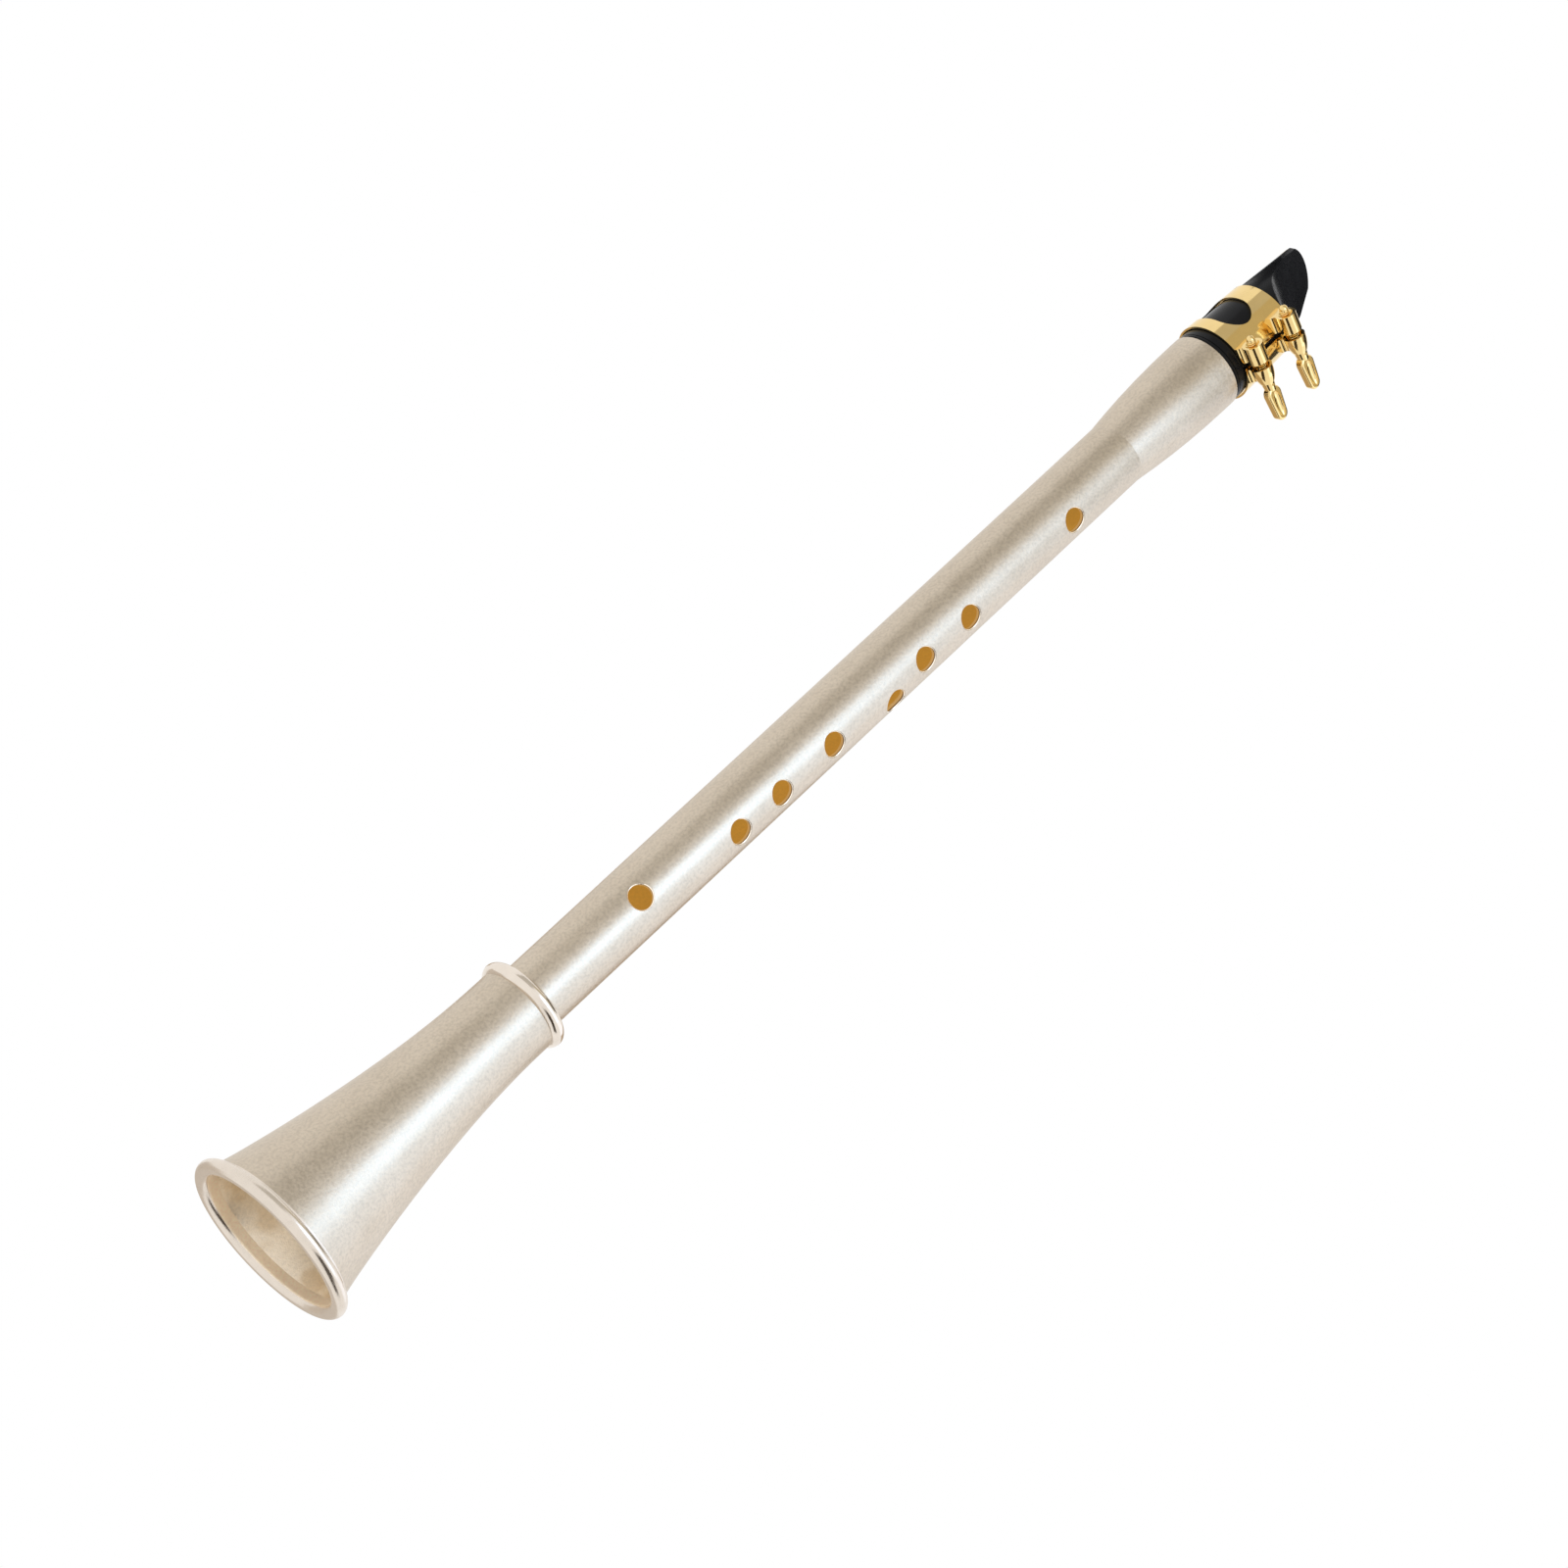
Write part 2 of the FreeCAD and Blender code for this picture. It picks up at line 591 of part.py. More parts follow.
# Mouthpiece: tenon, body, beak on the finger-hole side, table for the reed on the back.
mouthpiece = turned("mouthpiece_body", [
    Outline(nothing, tip)
    .line(s.mouthpiece_tip_radius, tip)
    .line(s.mouthpiece_waist_radius, tip - s.mouthpiece_waist_drop)
    .line(s.mouthpiece_low_radius, shoulder)
    .line(s.tenon_radius, shoulder)
    .line(s.tenon_radius, tenonFoot + s.tenon_lip_height)
    .line(s.tenon_lip_radius, tenonFoot + s.tenon_lip_height)
    .line(s.tenon_lip_radius, tenonFoot)
    .line(nothing, tenonFoot)
    .close()])
chamberFloor = tip - s.chamber_drop
grooveWith(mouthpiece, "mouthpiece_bore", Outline(nothing, chamberFloor)
           .line(s.mouthpiece_bore_radius, chamberFloor)
           .line(s.mouthpiece_bore_radius, tenonFoot - s.overrun)
           .line(nothing, tenonFoot - s.overrun)
           .close())
outside = s.mouthpiece_low_radius + s.overrun
crosswise = outside * 2
beakKnee = tip - s.beak_knee_drop
cutWith(mouthpiece, "beak", newSketch(mouthpiece, "YZ_Plane", "beak_side", [
    Outline(s.tip_depth, tip + s.overrun)
    .line(s.tip_depth, tip)
    .line(-s.beak_knee_depth, beakKnee)
    .smooth(-s.beak_start_depth, tip - s.beak_start_drop)
    .line(-outside, tip - s.beak_start_drop)
    .line(-outside, tip + s.overrun)
    .close()]), crosswise, midplane=True)
railFoot = tip - s.facing_length
tableAtRailFoot = tableAtTip + s.facing_length * s.table_slope_share
cutWith(mouthpiece, "table", newSketch(mouthpiece, "YZ_Plane", "table_side", [
    Outline(outside, shoulder)
    .line(tableAtShoulder, shoulder)
    .line(tableAtRailFoot, railFoot)
    .smooth(tableAtTip - s.tip_opening, tip)
    .line(tableAtTip - s.tip_opening, tip + s.overrun)
    .line(outside, tip + s.overrun)
    .close()]), crosswise, midplane=True)
tipBulge = s.tip_curve_radius - (s.tip_curve_radius * s.tip_curve_radius
                                 - s.tip_half_width * s.tip_half_width).root()
sideHeight = tip - s.tip_side_drop
cutWith(mouthpiece, "tip_curve", newSketch(mouthpiece, "XZ_Plane", "tip_front", [
    Outline(-outside, sideHeight)
    .line(-s.tip_side_half_width, sideHeight)
    .line(-s.tip_half_width, tip - tipBulge)
    .arc(s.tip_half_width, tip - tipBulge, s.tip_curve_radius, False)
    .line(s.tip_side_half_width, sideHeight)
    .line(outside, sideHeight)
    .line(outside, tip + s.overrun)
    .line(-outside, tip + s.overrun)
    .close()]), crosswise, midplane=True)
windowTop = tip - s.window_tip_drop
windowFoot = windowTop - s.window_length
baffleAtKnee = s.baffle_wall - s.beak_knee_depth
baffleAtTop = s.tip_depth + s.baffle_wall \
    - (s.tip_depth + s.beak_knee_depth) * s.window_tip_drop / s.beak_knee_drop
cutWith(mouthpiece, "window", newSketch(mouthpiece, "YZ_Plane", "window_side", [
    Outline(outside, windowFoot)
    .line(outside, windowTop)
    .line(baffleAtTop, windowTop)
    .line(baffleAtKnee, beakKnee)
    .line(-s.chamber_half_depth, chamberFloor + s.window_half_width)
    .line(-s.chamber_half_depth, chamberFloor - s.overrun)
    .line(s.chamber_half_depth, chamberFloor - s.overrun)
    .line(s.chamber_half_depth, chamberFloor)
    .close()]), s.window_half_width * 2, midplane=True)

ringInside = s.tenon_radius + s.push_clearance
baseRing = turned("mouthpiece_base_ring", [
    Outline(ringInside, ringFoot)
    .line(s.base_ring_radius - s.base_ring_chamfer, ringFoot)
    .line(s.base_ring_radius, ringFoot + s.base_ring_chamfer)
    .line(s.base_ring_radius, shoulder)
    .line(ringInside, shoulder)
    .close()])
ringLine = ringFoot + s.base_ring_chamfer * 2
grooveWith(baseRing, "base_ring_line", Outline(s.base_ring_radius + s.overrun, ringLine)
           .line(s.base_ring_radius - s.base_ring_groove, ringLine)
           .line(s.base_ring_radius - s.base_ring_groove, ringLine + s.base_ring_groove)
           .line(s.base_ring_radius + s.overrun, ringLine + s.base_ring_groove)
           .close())
corkFoot = tenonFoot + s.tenon_lip_height + s.push_clearance
corkOutside = s.socket_radius - s.cork_play
turned("tenon_cork", [
    Outline(ringInside, corkFoot)
    .line(corkOutside, corkFoot)
    .line(corkOutside, corkFoot + s.cork_length)
    .line(ringInside, corkFoot + s.cork_length)
    .close()])

# Reed: a round-backed strip, flat on the table, narrower at the heel and shaved to the tip.
# Its own Z runs up the table, its own Y away from it.
reed = newBody("reed")
reedChord = (s.reed_back_radius * s.reed_back_radius - tableAtBandTop * tableAtBandTop).root()
addFeature(reed, "Pad", "reed_blank", newSketch(reed, "XY_Plane", "reed_section", [
    Outline(-reedChord, nothing)
    .line(reedChord, nothing)
    .arc(-reedChord, nothing, s.reed_back_radius, True)]), Length=s.reed_length)
doc.recompute()
reedThickness = s.reed_back_radius - tableAtBandTop
reedBulge = s.tip_curve_radius - (s.tip_curve_radius * s.tip_curve_radius
                                  - s.reed_tip_half_width * s.reed_tip_half_width).root()
cutWith(reed, "reed_sides", newSketch(reed, "XZ_Plane", "reed_front", [
    Outline(-outside, -s.overrun)
    .line(-s.reed_heel_half_width, -s.overrun)
    .line(-s.reed_heel_half_width, nothing)
    .line(-s.reed_tip_half_width, s.reed_length - reedBulge)
    .arc(s.reed_tip_half_width, s.reed_length - reedBulge, s.tip_curve_radius, False)
    .line(s.reed_heel_half_width, nothing)
    .line(s.reed_heel_half_width, -s.overrun)
    .line(outside, -s.overrun)
    .line(outside, s.reed_length + s.overrun)
    .line(-outside, s.reed_length + s.overrun)
    .close()]), crosswise, midplane=True)
cutWith(reed, "reed_vamp", newSketch(reed, "YZ_Plane", "reed_side", [
    Outline(reedThickness + s.overrun, s.reed_stock_length)
    .line(reedThickness, s.reed_stock_length)
    .line(s.reed_tip_thickness, s.reed_length)
    .line(s.reed_tip_thickness, s.reed_length + s.overrun)
    .line(reedThickness + s.overrun, s.reed_length + s.overrun)
    .close()]), crosswise, midplane=True)
reedHeel = tip - s.reed_tip_gap - s.reed_length
reedAtHeel = tableAtTip + (tip - reedHeel) * s.table_slope_share + s.seat_gap
tableAngle = math.degrees(math.atan(s.table_slope_share.value))
reed.Placement = FreeCAD.Placement(
    FreeCAD.Vector(0, reedAtHeel.value, reedHeel.value),
    FreeCAD.Rotation(FreeCAD.Vector(1, 0, 0), tableAngle))
bind(reed, "Placement.Base.y", reedAtHeel)
bind(reed, "Placement.Base.z", reedHeel)
reed.setExpression("Placement.Rotation.Angle", "atan(Sizes.table_slope_share)")

# Ligature band: a cone of sheet with a slot in front and a window on each side.
bandLowOutside = s.ligature_low_radius + s.ligature_wall
bandTopOutside = s.ligature_top_radius + s.ligature_wall
band = turned("ligature_band", [
    Outline(s.ligature_low_radius, bandFoot)
    .line(bandLowOutside, bandFoot)
    .line(bandTopOutside, bandTop)
    .line(s.ligature_top_radius, bandTop)
    .close()])
slotHalf = s.ligature_slot_width / 2
cutWith(band, "band_slot", newSketch(band, "XZ_Plane", "band_slot_front", [
    Outline(-slotHalf, bandFoot - s.overrun)
    .line(slotHalf, bandFoot - s.overrun)
    .line(slotHalf, bandTop + s.overrun)
    .line(-slotHalf, bandTop + s.overrun)
    .close()]), outside, flipped=True)
windowMiddle = bandFoot + s.ligature_window_rise
windowUpper = windowMiddle + s.ligature_window_half_height
windowLower = windowMiddle - s.ligature_window_half_height
straightHalf = s.ligature_window_half_length - s.ligature_window_half_height
windowBack = s.ligature_window_shift + straightHalf
windowFront = s.ligature_window_shift - straightHalf
cutWith(band, "band_windows", newSketch(band, "YZ_Plane", "band_window_side", [
    Outline(windowFront, windowLower)
    .line(windowBack, windowLower)
    .smooth(windowBack, windowUpper)
    .line(windowFront, windowUpper)
    .smooth(windowFront, windowLower)]), crosswise, midplane=True)
turnWhole(band, s.ligature_turn)


def primitive(kind, name, **bound):
    thing = doc.addObject(kind, name)
    thing.Visibility = False
    for key, size in bound.items():
        bind(thing, key, size)
    return thing


def placeAt(thing, x, y, z, axis=None):
    """Puts a primitive at this place, laid over by a quarter turn about an axis if asked."""
    turn = FreeCAD.Rotation(axis, 90) if axis else FreeCAD.Rotation()
    thing.Placement = FreeCAD.Placement(
        FreeCAD.Vector(number(x), number(y), number(z)), turn)
    for name, size in (("x", x), ("y", y), ("z", z)):
        bind(thing, "Placement.Base." + name, size)
    return thing


def alongX(thing, start, level):
    """Lays a cylinder or cone on a screw's axis, from this place towards the player's left."""
    return placeAt(thing, start, -s.screw_depth, level, FreeCAD.Vector(0, 1, 0))


def combine(kind, name, base, tool):
    thing = doc.addObject("Part::" + kind, name)
    thing.Label = name
    thing.Base = base
    thing.Tool = tool
    return thing


def insideBand(name):
    """Everything inside the band's outer face, which the feet of the posts are fitted to."""
    cone = primitive("Part::Cone", name, Radius1=bandLowOutside, Radius2=bandTopOutside,
                     Height=s.ligature_height)
    return placeAt(cone, nothing, nothing, bandFoot)


flareStart = s.screw_depth - s.post_radius * 0.8
flareRun = flareStart - s.foot_flare_depth
flareRadius = (flareRun * flareRun + s.foot_flare_height * s.foot_flare_height) \
    / (s.foot_flare_height * 2)
footReach = s.ligature_top_radius / 2


def footBlock(name, start, length, level):
    """The foot that carries a post, from the screw's axis into the band, where it flares."""
    low = level - s.foot_half_height
    high = level + s.foot_half_height
    foot = newBody(name)
    addFeature(foot, "Pad", name + "_block", newSketch(foot, "YZ_Plane", name + "_side", [
        Outline(-s.screw_depth, low)
        .line(-flareStart, low)
        .arc(-s.foot_flare_depth, low - s.foot_flare_height, flareRadius, False)
        .line(-footReach, low - s.foot_flare_height)
        .line(-footReach, high + s.foot_flare_height)
        .line(-s.foot_flare_depth, high + s.foot_flare_height)
        .arc(-flareStart, high, flareRadius, False)
        .line(-s.screw_depth, high)
        .close()], forward=start), Length=length)
    doc.recompute()
    return foot


screwHole = s.screw_radius + s.screw_play
cupBase = s.post_gap + s.cup_length
postStart = -(s.post_gap + s.post_length)
shankStart = cupBase + s.seat_gap
shankEnd = shankStart + s.shank_length
domeMiddle = postStart - s.screw_reach + s.screw_radius
pinPlace = shankStart + s.pin_inset
boreEnd = shankEnd - s.shank_overlap
cupHollowDepth = s.cup_length - s.cup_floor
cupSlope = (s.cup_mouth_radius - s.cup_base_radius) / s.cup_length
cupHollowRadius = s.cup_mouth_radius - s.cup_wall
cupRatio = s.cup_base_radius / s.cup_mouth_radius
cupBowlLength = s.cup_length / (Size(1, "1") - cupRatio * cupRatio).root()
paddleRootMiddle = shankEnd - s.shank_overlap + s.paddle_root_radius
paddleEndMiddle = shankEnd - s.shank_overlap + s.paddle_length - s.paddle_end_radius
taper = (s.paddle_root_radius - s.paddle_end_radius) / (paddleEndMiddle - paddleRootMiddle)
spread = (Size(1, "1") - taper * taper).root()
scoopMiddle = (paddleRootMiddle + paddleEndMiddle) / 2


def paddleOutline(level):
    """Two round ends joined by straight sides that touch both."""
    root = s.paddle_root_radius
    end = s.paddle_end_radius
    return (Outline(paddleRootMiddle + root * taper, level - root * spread)
            .line(paddleEndMiddle + end * taper, level - end * spread)
            .smooth(paddleEndMiddle + end * taper, level + end * spread)
            .line(paddleRootMiddle + root * taper, level + root * spread)
            .smooth(paddleRootMiddle + root * taper, level - root * spread))


def threadedPost(which, level):
    """A tapped barrel with a countersunk end, on a foot, on the player's right of the slot."""
    barrel = alongX(primitive("Part::Cylinder", which + "_post_barrel", Radius=s.post_radius,
                              Height=s.post_length), postStart, level)
    foot = footBlock(which + "_post_foot", postStart + s.foot_inset,
                     s.post_length - s.foot_inset, level)
    hole = alongX(primitive("Part::Cylinder", which + "_post_hole", Radius=screwHole,
                            Height=s.post_length + s.overrun * 2), postStart - s.overrun, level)
    sink = alongX(primitive("Part::Cone", which + "_post_sink", Radius1=s.post_sink_radius,
                            Radius2=screwHole, Height=s.post_sink_depth), postStart, level)
    solid = combine("Fuse", which + "_post_solid", barrel, foot)
    sunk = combine("Cut", which + "_post_sunk", solid, sink)
    drilled = combine("Cut", which + "_post_drilled", sunk, hole)
    turnWhole(combine("Cut", "threaded_post_" + which, drilled,
                      insideBand(which + "_post_band")), s.ligature_turn)


def cupPost(which, level):
    """A hollow cup with bulging sides, on a foot, on the player's left of the slot."""
    bowl = primitive("Part::Ellipsoid", which + "_cup_bowl", Radius1=cupBowlLength,
                     Radius2=s.cup_mouth_radius, Radius3=s.cup_mouth_radius)
    bowl.Angle1 = 0
    alongX(bowl, s.post_gap, level)
    trim = alongX(primitive("Part::Cylinder", which + "_cup_trim",
                            Radius=s.cup_mouth_radius + s.overrun,
                            Height=s.cup_length + s.overrun), s.post_gap - s.overrun, level)
    cone = combine("Common", which + "_cup_cone", bowl, trim)
    foot = footBlock(which + "_cup_foot", s.post_gap + s.foot_inset,
                     s.cup_length - s.foot_inset * 2, level)
    hollow = alongX(primitive("Part::Cone", which + "_cup_hollow", Radius1=cupHollowRadius,
                              Radius2=cupHollowRadius - cupSlope * cupHollowDepth,
                              Height=cupHollowDepth), s.post_gap, level)
    hole = alongX(primitive("Part::Cylinder", which + "_cup_hole", Radius=screwHole,
                            Height=s.cup_length + s.overrun * 2), s.post_gap - s.overrun, level)
    solid = combine("Fuse", which + "_cup_solid", cone, foot)
    opened = combine("Cut", which + "_cup_opened", solid, hollow)
    drilled = combine("Cut", which + "_cup_drilled", opened, hole)
    turnWhole(combine("Cut", "cup_post_" + which, drilled, insideBand(which + "_cup_band")),
              s.ligature_turn)


def pinHole(name, level):
    """A hole across the screw and its wing, from front to back."""
    length = s.shank_radius * 2 + s.overrun
    hole = primitive("Part::Cylinder", name, Radius=s.wing_pin_radius + s.push_clearance,
                     Height=length)
    return placeAt(hole, pinPlace, length / 2 - s.screw_depth, level, FreeCAD.Vector(1, 0, 0))


def thumbScrew(which, level):
    """A shaft with a domed end, the paddle-shaped wing on it, and the pin across both."""
    dome = placeAt(primitive("Part::Sphere", which + "_screw_dome", Radius=s.screw_radius),
                   domeMiddle, -s.screw_depth, level)
    rod = alongX(primitive("Part::Cylinder", which + "_screw_rod", Radius=s.screw_radius,
                           Height=boreEnd - domeMiddle), domeMiddle, level)
    whole = combine("Fuse", which + "_screw_whole", rod, dome)
    turnWhole(combine("Cut", "screw_shaft_" + which, whole,
                      pinHole(which + "_shaft_pin_hole", level)), s.ligature_turn)

    paddle = newBody(which + "_paddle")
    addFeature(paddle, "Pad", which + "_paddle_blank", newSketch(
        paddle, "XZ_Plane", which + "_paddle_front", [paddleOutline(level)],
        forward=s.screw_depth), Length=s.paddle_thickness).Midplane = True
    doc.recompute()
    rims = ["Edge%d" % index for index, edge in enumerate(paddle.Shape.Edges, start=1)
            if abs(edge.BoundBox.YMax - edge.BoundBox.YMin) < s.paddle_thickness.value / 10]
    dressEdges(paddle, "Fillet", which + "_paddle_edges", rims, Radius=s.paddle_edge_fillet)
    scooped = paddle
    for side, sign in (("front", -1), ("back", 1)):
        scoop = placeAt(primitive(
            "Part::Ellipsoid", "%s_paddle_%s_scoop" % (which, side), Radius1=s.scoop_half_width,
            Radius2=s.scoop_half_length, Radius3=s.scoop_depth),
            scoopMiddle, s.paddle_thickness / 2 * sign - s.screw_depth, level)
        scooped = combine("Cut", "%s_paddle_%s_scooped" % (which, side), scooped, scoop)
    shank = alongX(primitive("Part::Cone", which + "_shank", Radius1=s.shank_radius,
                             Radius2=s.shank_end_radius, Height=s.shank_length),
                   shankStart, level)
    blank = combine("Fuse", which + "_wing_blank", scooped, shank)
    socket = alongX(primitive("Part::Cylinder", which + "_wing_socket",
                              Radius=s.screw_radius + s.push_clearance,
                              Height=boreEnd - shankStart + s.overrun + s.push_clearance),
                    shankStart - s.overrun, level)
    drilled = combine("Cut", which + "_wing_drilled", blank, socket)
    turnWhole(combine("Cut", "screw_wing_" + which, drilled,
                      pinHole(which + "_wing_pin_hole", level)), s.ligature_turn)

    pin = newBody("wing_pin_" + which)
    addFeature(pin, "Pad", which + "_pin_rod", newSketch(
        pin, "XZ_Plane", which + "_pin_circle", circles=[(pinPlace, level, s.wing_pin_radius)],
        forward=s.screw_depth), Length=s.shank_radius * 2).Midplane = True
    turnWhole(pin, s.ligature_turn)


for which, rise in (("lower", s.lower_screw_rise), ("upper", s.upper_screw_rise)):
    threadedPost(which, bandFoot + rise)
    cupPost(which, bandFoot + rise)
    thumbScrew(which, bandFoot + rise)
doc.recompute()

# The finished pieces, each written to its own file after a check.
nodeNames = [
    "bell_mouth_ring", "bell", "bell_collar_ring", "bell_bush", "seal_ring_lower",
    "seal_ring_upper", "body_tube", "mouthpiece_body", "mouthpiece_base_ring", "tenon_cork",
    "reed", "ligature_band",
]
for which in ("lower", "upper"):
    nodeNames += ["threaded_post_" + which, "cup_post_" + which, "screw_shaft_" + which,
                  "screw_wing_" + which, "wing_pin_" + which]

for thing in doc.Objects:
    if "Invalid" in thing.State or "Error" in thing.State:
        raise RuntimeError("failed: %s %s" % (thing.Name, thing.State))

os.makedirs("parts", exist_ok=True)
for name in nodeNames:
    piece = doc.getObjectsByLabel(name)[0]
    shape = piece.Shape
    if shape.isNull() or not shape.isValid() or len(shape.Solids) != 1:
        raise RuntimeError("bad shape: %s, %d solids" % (name, len(shape.Solids)))
    shape.exportStep("parts/%s.step" % name)
    box = shape.BoundBox
    print("%-22s %9.1f mm3  x %6.2f %6.2f  y %6.2f %6.2f  z %7.2f %7.2f" % (
        name, shape.Volume, box.XMin, box.XMax, box.YMin, box.YMax, box.ZMin, box.ZMax))
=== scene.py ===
import json
import math

import bmesh
import bpy
from mathutils import Matrix, Vector


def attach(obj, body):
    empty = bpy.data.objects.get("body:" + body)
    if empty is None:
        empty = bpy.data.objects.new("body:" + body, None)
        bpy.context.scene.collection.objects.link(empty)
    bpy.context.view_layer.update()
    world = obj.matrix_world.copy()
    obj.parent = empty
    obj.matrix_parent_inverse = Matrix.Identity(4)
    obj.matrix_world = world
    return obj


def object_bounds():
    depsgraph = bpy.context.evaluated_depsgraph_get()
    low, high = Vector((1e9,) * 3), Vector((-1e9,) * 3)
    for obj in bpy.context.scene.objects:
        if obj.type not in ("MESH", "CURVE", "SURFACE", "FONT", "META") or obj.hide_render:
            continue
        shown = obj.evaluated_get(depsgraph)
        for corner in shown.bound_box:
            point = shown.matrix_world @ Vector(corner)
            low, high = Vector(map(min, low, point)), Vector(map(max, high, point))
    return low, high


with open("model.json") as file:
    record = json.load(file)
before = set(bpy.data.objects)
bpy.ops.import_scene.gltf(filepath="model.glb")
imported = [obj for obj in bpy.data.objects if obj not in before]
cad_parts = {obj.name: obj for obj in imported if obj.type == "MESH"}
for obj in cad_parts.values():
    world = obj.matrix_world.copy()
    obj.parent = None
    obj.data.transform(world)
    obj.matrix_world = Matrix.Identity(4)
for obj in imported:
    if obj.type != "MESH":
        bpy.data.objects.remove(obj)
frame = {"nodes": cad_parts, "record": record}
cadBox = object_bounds()
cadNodes = frame["nodes"]
sceneNow = bpy.context.scene
print("frame loaded:", len(cadNodes), "nodes")


# node tools used by every material


def newMaterial(name):
    material = bpy.data.materials.new(name)
    material.use_nodes = True
    material.node_tree.nodes.clear()
    return material, material.node_tree


def addNode(tree, kind, place=(0, 0), **settings):
    node = tree.nodes.new(kind)
    node.location = place
    for key, value in settings.items():
        setattr(node, key, value)
    return node


def fill(node, **values):  # an underscore in a key stands for a space in the socket's name
    for key, value in values.items():
        node.inputs[key.replace("_", " ")].default_value = value
    return node


def feed(tree, value, socket):  # a number or a colour is set on the socket, and an output is linked
    if isinstance(value, (int, float)):
        socket.default_value = value
    elif isinstance(value, tuple):
        socket.default_value = (*value, 1)
    else:
        tree.links.new(value, socket)


def mathNode(tree, operation, first, second, place=(0, 0), clamp=False):
    node = addNode(tree, "ShaderNodeMath", place, operation=operation, use_clamp=clamp)
    feed(tree, first, node.inputs[0])
    feed(tree, second, node.inputs[1])
    return node.outputs[0]


def rangeNode(tree, value, fromLow, fromHigh, toLow, toHigh, place=(0, 0), smooth=False):
    node = addNode(tree, "ShaderNodeMapRange", place)
    node.interpolation_type = "SMOOTHSTEP" if smooth else "LINEAR"
    tree.links.new(value, node.inputs["Value"])
    fill(node, From_Min=fromLow, From_Max=fromHigh, To_Min=toLow, To_Max=toHigh)
    return node.outputs["Result"]


def mixColour(tree, factor, first, second, place=(0, 0)):
    node = addNode(tree, "ShaderNodeMix", place, data_type="RGBA")
    feed(tree, factor, node.inputs[0])
    feed(tree, first, node.inputs[6])
    feed(tree, second, node.inputs[7])
    return node.outputs[2]


def noiseNode(tree, coords, scale, place=(0, 0), **values):
    node = fill(addNode(tree, "ShaderNodeTexNoise", place), **values)
    tree.links.new(coords, node.inputs["Vector"])
    feed(tree, scale, node.inputs["Scale"])
    return node.outputs["Fac"]


def drawnOut(tree, coords, share, place=(0, 0)):  # stretches a pattern along the bore's axis
    node = fill(addNode(tree, "ShaderNodeMapping", place), Scale=(1.0, 1.0, share))
    tree.links.new(coords, node.inputs["Vector"])
    return node.outputs[0]


def mixShader(tree, factor, first, second, place=(0, 0)):
    node = addNode(tree, "ShaderNodeMixShader", place)
    for value, socket in zip((factor, first, second), node.inputs):
        tree.links.new(value, socket)
    return node


def newGroup(name, inputs, outputs):
    group = bpy.data.node_groups.new(name, "ShaderNodeTree")
    for socketName, value in inputs.items():
        socket = group.interface.new_socket(socketName, in_out="INPUT", socket_type="NodeSocketFloat")
        socket.default_value = value
    for socketName in outputs:
        group.interface.new_socket(socketName, in_out="OUTPUT", socket_type="NodeSocketFloat")
    start = addNode(group, "NodeGroupInput", (-900, 0))
    end = addNode(group, "NodeGroupOutput", (900, 0))
    return group, start, end


def placeGroup(tree, group, place=(-600, 0), **values):
    node = addNode(tree, "ShaderNodeGroup", place, node_tree=group)
    return fill(node, **values)


# shared effects

blastLook = {
    "pits": {"Detail": 1.5, "Roughness": 0.6},
    "coarse": {"Detail": 2.0, "Roughness": 0.55},
    "cloud": {"Detail": 3.0, "Roughness": 0.5},
    "coarseScale": 0.37,
    "coarseHeight": 0.9,
    "spread": (0.3, 0.7),
}


def buildBlastGrain(look):  # blasted skin: pits, a sparkle for tone and roughness, a soft cloudiness
    group, start, end = newGroup(
        "blastGrain", {"Grain Size": 0.0004, "Cloud Size": 0.02}, ("Height", "Sparkle", "Cloud"))
    coords = addNode(group, "ShaderNodeTexCoord", (-900, -250)).outputs["Object"]
    fineScale = mathNode(group, "DIVIDE", 1.0, start.outputs["Grain Size"], (-650, 150))
    coarseScale = mathNode(group, "MULTIPLY", fineScale, look["coarseScale"], (-650, 0))
    cloudScale = mathNode(group, "DIVIDE", 1.0, start.outputs["Cloud Size"], (-650, -150))
    pits = noiseNode(group, coords, fineScale, (-400, 250), **look["pits"])
    coarse = noiseNode(group, coords, coarseScale, (-400, 0), **look["coarse"])
    cloud = noiseNode(group, coords, cloudScale, (-400, -250), **look["cloud"])
    coarseHeight = mathNode(group, "MULTIPLY", coarse, look["coarseHeight"], (-150, 50))
    height = mathNode(group, "ADD", pits, coarseHeight, (0, 150))
    sparkle = rangeNode(group, coarse, *look["spread"], 0.0, 1.0, (200, 0))
    cloudy = rangeNode(group, cloud, *look["spread"], 0.0, 1.0, (200, -250))
    group.links.new(height, end.inputs["Height"])
    group.links.new(sparkle, end.inputs["Sparkle"])
    group.links.new(cloudy, end.inputs["Cloud"])
    return group


